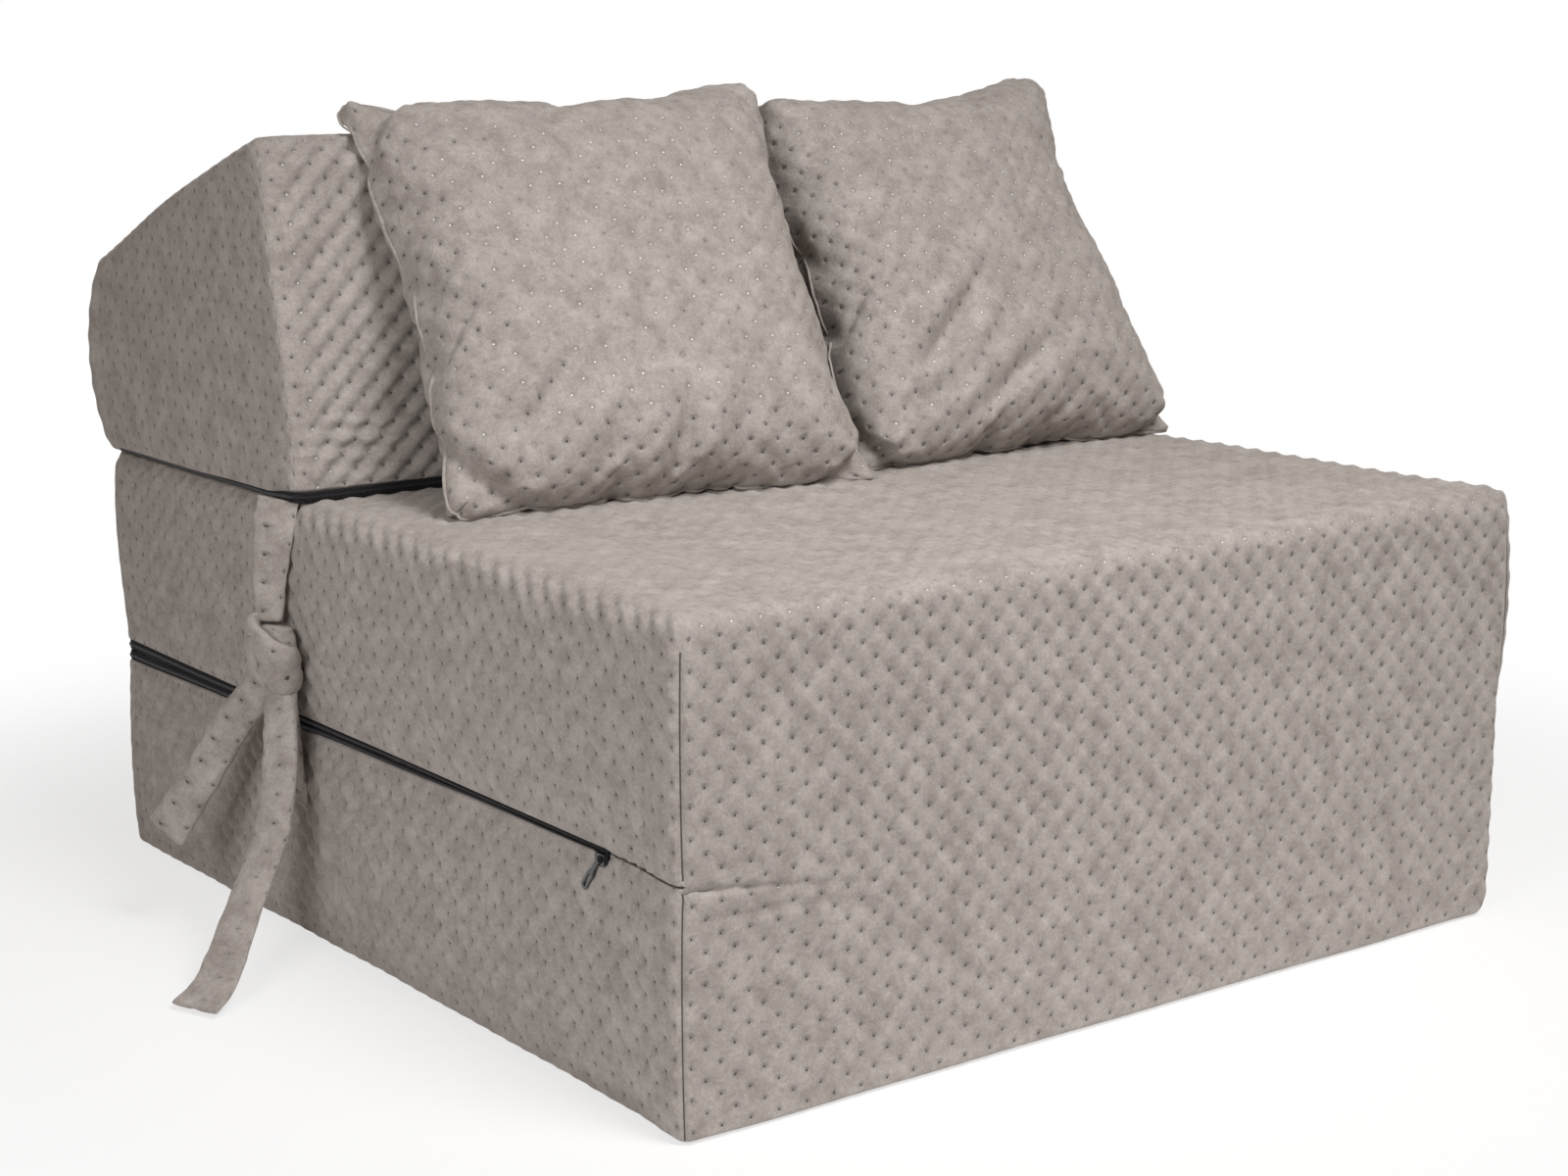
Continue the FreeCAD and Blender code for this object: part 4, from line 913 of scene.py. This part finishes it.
def backrestZipPieces():
    w = block["halfWide"]
    front = wedge["front"] + wedge["setback"] / wedge["high"] * 0.004
    path = ((-w, 0.408), (-w, front), (w, front), (w, 0.408))

    def half(line):
        gape = wedge["zipMouth"] + (wedge["sideMouth"] - wedge["zipMouth"]) * smoothStep(
            line[:, 1] - wedge["front"], 0.01, 0.05)
        return gape / 2

    def level(line, spots):
        return wedge["floor"] + half(line) + zips["wave"] * np.sin(spots * 33)

    return zipPiece("backrestZip", path, level, wedge["corner"] - 0.001, half,
                    lambda line, z: np.full(len(z), zips["recess"]))


print("chair bed: zips")
baseZip = blockZip("baseZip", -1, -1)
seatZip = blockZip("seatZip", 1, 1)
backZip = backrestZipPieces()
for (tape, coil), node, body in ((baseZip, "base_zip", "base"), (seatZip, "seat_zip", "seat"),
                                 (backZip, "backrest_zip", "backrest")):
    for piece in (tape, coil):
        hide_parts(node)
        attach(piece, body)


# Loose pillows: two velour squares sewn together and blown up by their filling

pillows = {
    "cut": 0.378,        # side of each square before filling
    "cells": 72,
    "round": 0.026,      # cut corners
    "pressure": 3.2,
    "frames": 22,
    "cap": 0.10,         # furthest that a point may move
    "half": 0.058,       # fullest half thickness
    "full": 0.72,        # under 1 squares the body's shoulders
    "puff": 0.0013,
    "bare": 5,           # cells beside the seam that the filling doesn't reach
    "room": 0.86,        # share of the room between the sheets that it takes
    "seamBack": 0.007,   # the seam lies behind the middle, as the front is the fuller side
    "seamWide": 0.0028,
    "seamThick": 0.0016,
    "overSeat": 0.0009,  # gaps to what it rests on
    "offBack": 0.0082,
}


def twoSheets(n):  # numbers of two square grids' points, joined at their rims, and the faces
    front = np.arange(n * n).reshape(n, n)
    behind = front.copy()
    behind[1:-1, 1:-1] = front.size + np.arange((n - 2) ** 2).reshape(n - 2, n - 2)
    faces = []
    for ids, flip in ((front, False), (behind, True)):
        quads = np.stack([ids[:-1, :-1], ids[1:, :-1], ids[1:, 1:], ids[:-1, 1:]], -1).reshape(-1, 4)
        faces.append(quads[:, ::-1] if flip else quads)
    return front, behind, np.concatenate(faces)


def pillowSheets(name):
    n, side = pillows["cells"], pillows["cut"]
    t = np.linspace(-side / 2, side / 2, n + 1)
    x, z = np.meshgrid(t, t, indexing="ij")
    fabric = np.stack([x, z], -1)
    r = pillows["round"]
    m, k = np.maximum(np.abs(x) - (side / 2 - r), 0), np.maximum(np.abs(z) - (side / 2 - r), 0)
    small, large = np.minimum(m, k), np.maximum(np.maximum(m, k), 1e-9)
    turn = np.where(m >= k, math.pi / 4 * small / large, math.pi / 2 - math.pi / 4 * small / large)
    both = (m > 0) & (k > 0)
    x = np.where(both, np.sign(x) * (side / 2 - r + large * np.cos(turn)), x)
    z = np.where(both, np.sign(z) * (side / 2 - r + large * np.sin(turn)), z)
    bulge = 0.004 * (1 - (2 * t / side) ** 2)[:, None] * (1 - (2 * t / side) ** 2)[None, :]
    front, behind, faces = twoSheets(n + 1)
    points = np.concatenate([np.stack([x, -bulge, z], -1).reshape(-1, 3),
                             np.stack([x, bulge, z], -1)[1:-1, 1:-1].reshape(-1, 3)])
    own = np.concatenate([fabric.reshape(-1, 2), fabric[1:-1, 1:-1].reshape(-1, 2)])
    piece = makePiece(name, points, faces, velourCloth, own[faces])
    rim = np.concatenate([front[:-1, 0], front[-1, :-1], front[:0:-1, -1], front[0, :0:-1]])
    return piece, points, own, rim, (front, behind)


def inflate(piece, rest):
    cloth = piece.modifiers.new("filling", "CLOTH")
    settings = cloth.settings
    settings.quality = 6
    settings.mass = 0.15
    settings.tension_stiffness = settings.compression_stiffness = 20
    settings.shear_stiffness = 6
    settings.bending_stiffness = 0.35
    settings.tension_damping = settings.compression_damping = settings.shear_damping = 8
    settings.use_pressure = True
    settings.uniform_pressure_force = pillows["pressure"]
    settings.effector_weights.gravity = 0
    cloth.point_cache.frame_start = 1
    cloth.point_cache.frame_end = pillows["frames"]
    for step in range(1, pillows["frames"] + 1):
        scene.frame_set(step)
    filled = piece.evaluated_get(bpy.context.evaluated_depsgraph_get()).to_mesh()
    points = readNumbers(filled.vertices, "co", len(filled.vertices) * 3).reshape(-1, 3).astype(float)
    piece.modifiers.clear()
    scene.frame_set(1)
    move = points - rest
    far = np.linalg.norm(move, axis=1, keepdims=True)
    return rest + move * np.minimum(1, pillows["cap"] / np.maximum(far, 1e-9))


# In the shapes below, own is a point's place on the cut square, from -1 to 1 each way

def stretched(points, own, corners):
    # corners: how far the lower left, lower right, upper left and upper right corners are pulled
    x, z = (own[:, 0] + 1) / 2, (own[:, 1] + 1) / 2
    shares = ((1 - x) * (1 - z), x * (1 - z), (1 - x) * z, x * z)
    for share, (dx, dz) in zip(shares, corners):
        points[:, 0] += share * dx
        points[:, 2] += share * dz
    return points


def pillowFilling(name, points, sheets):  # between the sheets, a little thinner than the room there
    bare = pillows["bare"]
    front, behind = (points[ids[bare:-bare, bare:-bare]] for ids in sheets)
    middle, half = (front + behind) / 2, (front - behind) / 2
    t = np.linspace(-1, 1, len(front)) ** 8
    room = pillows["room"] * np.sqrt((1 - t[:, None]) * (1 - t[None, :]))[..., None]
    inner = np.concatenate([(middle + half * room).reshape(-1, 3),
                            (middle - half * room)[1:-1, 1:-1].reshape(-1, 3)])
    return makePiece(name, inner, twoSheets(len(front))[2], fibre)


def pillowPiece(word, place, shape):
    piece, rest, own, rim, sheets = pillowSheets(f"pillow{word}Cover")
    points = inflate(piece, rest)
    points -= (points.max(axis=0) + points.min(axis=0)) / 2
    points[:, 1] *= pillows["half"] / np.abs(points[:, 1]).max()
    points = shape(points, own / (pillows["cut"] / 2))
    points = points @ np.array(place.to_3x3()).T + np.array(place.translation)
    points = settle(points)
    mesh = piece.data
    mesh.vertices.foreach_set("co", points.astype(np.float32).ravel())
    mesh.update()
    divide = piece.modifiers.new("finer", "SUBSURF")
    divide.levels = divide.render_levels = 1
    divide.uv_smooth = "NONE"
    fine = bpy.data.meshes.new_from_object(piece.evaluated_get(bpy.context.evaluated_depsgraph_get()))
    piece.modifiers.clear()
    piece.data = fine
    count = len(fine.vertices)
    co = readNumbers(fine.vertices, "co", count * 3).reshape(-1, 3).astype(float)
    normal = readNumbers(fine.vertex_normals, "vector", count * 3).reshape(-1, 3).astype(float)
    corner = readNumbers(fine.loops, "vertex_index", len(fine.loops), np.int32)
    cloth = np.zeros((count, 2))
    cloth[corner] = readNumbers(fine.uv_layers["fabric"].data, "uv", len(fine.loops) * 2).reshape(-1, 2)
    fromEdge = pillows["cut"] / 2 - np.abs(cloth).max(axis=1)
    rise = pillows["puff"] * (quiltRise(cloth) - 0.5) * smoothStep(fromEdge, 0.002, 0.014)
    fine.vertices.foreach_set("co", (co + normal * rise[:, None]).astype(np.float32).ravel())
    for field, numbers in clothFields(normal, 1.0, cloudGlints(normal, 0.85)).items():
        layer = fine.attributes.new(field, "FLOAT", "POINT")
        layer.data.foreach_set("value", numbers.astype(np.float32))
    fine.update()
    # the sewn edge: a narrow turned ridge all round
    edge = points[rim]
    edge = np.concatenate([edge, edge[:2]])
    fineEdge = smoothPath(edge, len(edge) * 2)
    middle = points.mean(axis=0)
    inward = (middle - fineEdge) / np.linalg.norm(middle - fineEdge, axis=1, keepdims=True)
    ridge, faces, corners = tube(
        fineEdge + 0.0006 * inward, -inward, np.full(len(fineEdge), pillows["seamWide"]),
        np.full(len(fineEdge), pillows["seamThick"]), 10, 0.9, caps=False)
    seam = makePiece(f"pillow{word}Seam", ridge, faces, velourCloth, corners,
                     clothFields(pointNormals(ridge, faces), 1.0, 0.0))
    fill = pillowFilling(f"pillow{word}Filling", points, sheets)
    for part, slot in ((piece, "quilted_velour"), (seam, "quilted_velour"), (fill, "pillow_fibre")):
        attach(part, f"pillow_{word.lower()}")
    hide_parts(f"pillow_{word.lower()}_cover")
    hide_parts(f"pillow_{word.lower()}_fill")


def settle(points):
    # where it rests, a pillow flattens on the seat and against the backrest's leaning front
    floor = 2 * layer + pillows["overSeat"]
    sunk = floor - points[:, 2]
    points[:, 2] = np.where(sunk > 0, floor, points[:, 2])
    slope = wedge["setback"] / wedge["high"]
    face = wedge["front"] + slope * (points[:, 2] - wedge["floor"]) - pillows["offBack"]
    under = points[:, 2] < wedge["floor"] + wedge["high"]
    points[:, 1] = np.where(under & (points[:, 1] > face), face, points[:, 1])
    return points


def plump(points, own, ears):
    # fills the shoulders out, and ties off each corner as a soft ear
    # ears: which corner, its size as a share of half the side, its thickness, how far it bends forward
    half = pillows["half"]
    x, z, y = own[:, 0], own[:, 1], points[:, 1].copy()
    side = np.sign(y)
    y = side * half * (np.abs(y) / half) ** pillows["full"]
    edge = smoothStep(np.minimum(1 - np.abs(x), 1 - np.abs(z)), 0, 0.10) ** 0.6
    for sx, sz, size, thick, bend in ears:
        off = (1 - sx * x) + (1 - sz * z)
        crease = np.exp(-((off - size) / 0.055) ** 2)
        lump = side * thick * edge * np.sqrt(np.clip(1 - ((off - 0.52 * size) / (0.55 * size)) ** 2, 0, 1))
        inEar = smoothStep(size - off, -0.02, 0.06)
        y = y * (1 - 0.62 * crease) * (1 - inEar) + lump * inEar
        around = np.arctan2(1 - sz * z, 1 - sx * x)
        gathers = np.exp(-((off - size - 0.13) / 0.12) ** 2) * edge
        y += side * 0.0030 * gathers * np.sin(around * 17 + 3 * sx + sz)
        y -= bend * smoothStep(size + 0.08 - off, 0, size)
        pull = 0.0075 * np.exp(-((off - size) / 0.09) ** 2)
        points[:, 0] -= sx * pull
        points[:, 2] -= sz * pull
        points[:, 0] += sx * 0.004 * inEar
        points[:, 2] += sz * 0.004 * inEar
    points[:, 1] = y + pillows["seamBack"] * smoothStep(np.maximum(np.abs(x), np.abs(z)), 0.55, 1.0)
    return points


def slumped(points, own, deep):  # sags onto the seat between its lower corners
    low = smoothStep(-own[:, 1], 0.1, 1.0)
    points[:, 2] -= deep * (1 - own[:, 0] ** 2) * low
    return points


def pressed(points, own, dents):  # dents in the front sheet: place, slope, length, depth
    x, z = own.T
    front = np.where(points[:, 1] < 0.002, 1, 0)
    for cx, cz, slope, long, deep in dents:
        way = np.array([1, slope]) / math.hypot(1, slope)
        along = (x - cx) * way[0] + (z - cz) * way[1]
        aside = (z - cz) * way[0] - (x - cx) * way[1]
        groove = np.exp(-(aside / 0.042) ** 2) - 0.45 * np.exp(-((np.abs(aside) - 0.10) / 0.05) ** 2)
        points[:, 1] += deep * groove * np.exp(-(along / long) ** 2) * front
    return points


def leftShape(points, own):
    points = plump(points, own, ((-1, -1, 0.34, 0.019, 0.012), (1, -1, 0.26, 0.013, 0.004),
                                 (-1, 1, 0.30, 0.015, -0.006), (1, 1, 0.16, 0.010, 0.0)))
    points = stretched(points, own, ((-0.010, -0.004), (0.014, -0.008), (-0.016, 0.004), (0.004, 0.016)))
    points = slumped(points, own, 0.010)
    return pressed(points, own, ((0.0, -0.78, 3.5, 0.20, 0.014), (-0.52, -0.55, 1.1, 0.16, 0.007),
                                 (-0.30, -0.72, 1.6, 0.16, 0.006), (-0.72, -0.30, 0.3, 0.14, 0.006),
                                 (0.48, -0.72, -1.4, 0.15, 0.006), (-0.66, 0.52, 0.2, 0.16, 0.004),
                                 (-0.78, 0.10, 0.1, 0.12, 0.004), (0.30, -0.62, 2.5, 0.14, 0.004)))


def rightShape(points, own):
    points = plump(points, own, ((-1, -1, 0.20, 0.012, 0.0), (1, -1, 0.22, 0.012, 0.004),
                                 (-1, 1, 0.20, 0.012, 0.0), (1, 1, 0.26, 0.010, -0.012)))
    points = stretched(points, own, ((0.0, -0.004), (0.016, -0.006), (0.0, 0.0), (0.012, 0.020)))
    points = slumped(points, own, 0.009)
    x, z = own.T
    # its right side draws in, and its upper edge hangs between the corners
    points[:, 0] -= 0.026 * np.exp(-((z - 0.25) / 0.42) ** 2) * smoothStep(x, 0.1, 1.0)
    points[:, 2] -= 0.012 * (1 - x ** 2) * smoothStep(z, 0.2, 1.0)
    return pressed(points, own, ((-0.40, -0.38, 0.8, 0.26, 0.012), (-0.10, -0.60, 0.5, 0.26, 0.010),
                                 (0.40, -0.66, -0.7, 0.20, 0.007), (-0.62, -0.66, 0.4, 0.20, 0.008),
                                 (0.15, -0.80, 1.5, 0.12, 0.006), (0.66, 0.40, -0.4, 0.20, 0.004)))


def placed(x, y, z, turn, lean):
    return (Matrix.Translation((x, y, z)) @ Matrix.Rotation(math.radians(turn), 4, "Z")
            @ Matrix.Rotation(math.radians(-lean), 4, "X"))


print("chair bed: pillows")
pillowPiece("Left", placed(-0.148, 0.024, 0.5005, -7, 31), leftShape)
pillowPiece("Right", placed(0.206, 0.0337, 0.5020, 2, 30), rightShape)


# Fold seams: a row of stitches just inside each fold

stitches = {
    "reach": 0.372,      # the row's ends, from the middle
    "pitch": 0.0042,
    "along": (-0.0015, -0.0008, 0, 0.0008, 0.0015),    # one stitch, and its section there
    "wide": (0.0002, 0.0007, 0.0008, 0.0007, 0.0002),
    "thick": (0.0002, 0.0006, 0.0007, 0.0006, 0.0002),
}


def stitchRow(name, y, z, node, body):
    parts = []
    upright = np.tile([0, 0, 1.0], (len(stitches["along"]), 1))
    for x in np.arange(-stitches["reach"], stitches["reach"] + 0.0005, stitches["pitch"]):
        line = np.array([(x + t, y, z) for t in stitches["along"]])
        parts.append(tube(line, upright, np.array(stitches["wide"]), np.array(stitches["thick"]), 8))
    points, faces, _ = joined(parts)
    piece = makePiece(name, points, faces, thread)
    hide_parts(node)
    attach(piece, body)


print("chair bed: fold seams and carried nodes")
stitchRow("frontFoldStitches", -0.4225, 0.1750, "front_fold_seam", "base")
stitchRow("rearFoldStitches", 0.4225, 0.3500, "rear_fold_seam", "seat")

for node in ("base_foam", "seat_foam", "backrest_foam"):
    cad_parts[node].material_slots[0].material = foam
for node in ("base_zip_slider", "base_zip_pull", "seat_zip_slider", "seat_zip_pull", "backrest_zip_slider",
             "backrest_zip_pull"):
    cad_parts[node].material_slots[0].material = zinc


# Studio: pale floor, white surroundings, one large soft light and a weak fill

studio = {
    "eye": (-1.359, -1.810, 0.722),
    "heading": 36.9,     # degrees from +Y towards +X
    "down": 11.8,
    "lens": 63.9,
    # place, aim, width, power and spread of each light
    "key": ((0.05, -1.5, 2.15), (0.05, -0.3, 0.2), 1.1, 8.6, 70),
    "fill": ((-1.7, -1.0, 1.0), (-0.4, -0.1, 0.4), 0.8, 3.1, 80),
    "surround": 0.15,
    "lift": 0.68,        # share of plain white in the floor near the object
    "warm": "#ffe8d6",   # light from the room's walls
    "floorReach": 9,
    "floorLevel": -0.0004,
    "near": 0.55,        # the floor keeps its shadows up to here, and is plain white past "far"
    "far": 1.2,
}

print("chair bed: studio")
floorMesh = bpy.data.meshes.new("studioFloor")
reach = studio["floorReach"]
floorMesh.from_pydata([(-reach, -reach, 0), (reach, -reach, 0), (reach, reach, 0), (-reach, reach, 0)],
                      [], [(0, 1, 2, 3)])
floorPiece = bpy.data.objects.new("studioFloor", floorMesh)
scene.collection.objects.link(floorPiece)
floorPiece.location.z = studio["floorLevel"]
paint, tree, shader = newMaterial("matt studio paint", Roughness=0.9)
solid = addNode(tree, "ShaderNodeTexCoord").outputs["Object"]
speckle = addNode(tree, "ShaderNodeTexNoise", {"Vector": solid, "Scale": 60.0})
tone = addNode(tree, "ShaderNodeMix", {
    "Factor": speckle.outputs[0], 6: linearColour("#fafafa"), 7: linearColour("#ffffff")}, data_type="RGBA")
tree.links.new(tone.outputs[2], shader.inputs["Base Color"])
rays = addNode(tree, "ShaderNodeLightPath")
seen = addNode(tree, "ShaderNodeMath", {
    0: rays.outputs["Is Camera Ray"], 1: rays.outputs["Is Glossy Ray"]}, operation="MAXIMUM")
away = addNode(tree, "ShaderNodeVectorMath", {0: solid}, operation="LENGTH")
fade = addNode(tree, "ShaderNodeMapRange", {
    0: away.outputs["Value"], 1: studio["near"], 2: studio["far"], 3: studio["lift"], 4: 1.0},
    interpolation_type="SMOOTHSTEP")
share = addNode(tree, "ShaderNodeMath", {0: seen.outputs[0], 1: fade.outputs[0]}, operation="MULTIPLY")
glow = addNode(tree, "ShaderNodeEmission", {0: linearColour("#ffffff"), 1: 1.0})
blend = addNode(tree, "ShaderNodeMixShader",
                {0: share.outputs[0], 1: shader.outputs[0], 2: glow.outputs[0]})
tree.links.new(blend.outputs[0], tree.nodes["Material Output"].inputs[0])
floorMesh.materials.append(paint)

world = bpy.data.worlds.new("white surroundings")
scene.world = world
world.use_nodes = True
tree = world.node_tree
tree.nodes.clear()
rays = addNode(tree, "ShaderNodeLightPath")
seen = addNode(tree, "ShaderNodeMath", {
    0: rays.outputs["Is Camera Ray"], 1: rays.outputs["Is Transmission Ray"]}, operation="MAXIMUM")
seen = addNode(tree, "ShaderNodeMath", {
    0: seen.outputs[0], 1: rays.outputs["Is Glossy Ray"]}, operation="MAXIMUM")
lit = addNode(tree, "ShaderNodeBackground", {0: linearColour(studio["warm"]), 1: studio["surround"]})
sky = addNode(tree, "ShaderNodeBackground", {0: linearColour("#ffffff"), 1: 1.0})
both = addNode(tree, "ShaderNodeMixShader", {0: seen.outputs[0], 1: lit.outputs[0], 2: sky.outputs[0]})
addNode(tree, "ShaderNodeOutputWorld", {0: both.outputs[0]})

for name in ("key", "fill"):
    spot, aim, size, power, beam = studio[name]
    lamp = bpy.data.lights.new(f"{name}Light", "AREA")
    lamp.shape = "DISK"
    lamp.size = size
    lamp.energy = power
    lamp.spread = math.radians(beam)
    light = bpy.data.objects.new(f"{name}Light", lamp)
    light.location = spot
    light.visible_camera = False
    light.rotation_euler = (Vector(aim) - Vector(spot)).to_track_quat("-Z", "Y").to_euler()
    scene.collection.objects.link(light)

lens = bpy.data.cameras.new("photoCamera")
lens.lens = studio["lens"]
lens.sensor_width = 36
lens.clip_end = 60
camera = bpy.data.objects.new("photoCamera", lens)
camera.location = studio["eye"]
heading, down = math.radians(studio["heading"]), math.radians(studio["down"])
aim = Vector((math.sin(heading) * math.cos(down), math.cos(heading) * math.cos(down), -math.sin(down)))
camera.rotation_euler = aim.to_track_quat("-Z", "Y").to_euler()
scene.collection.objects.link(camera)
scene.camera = camera
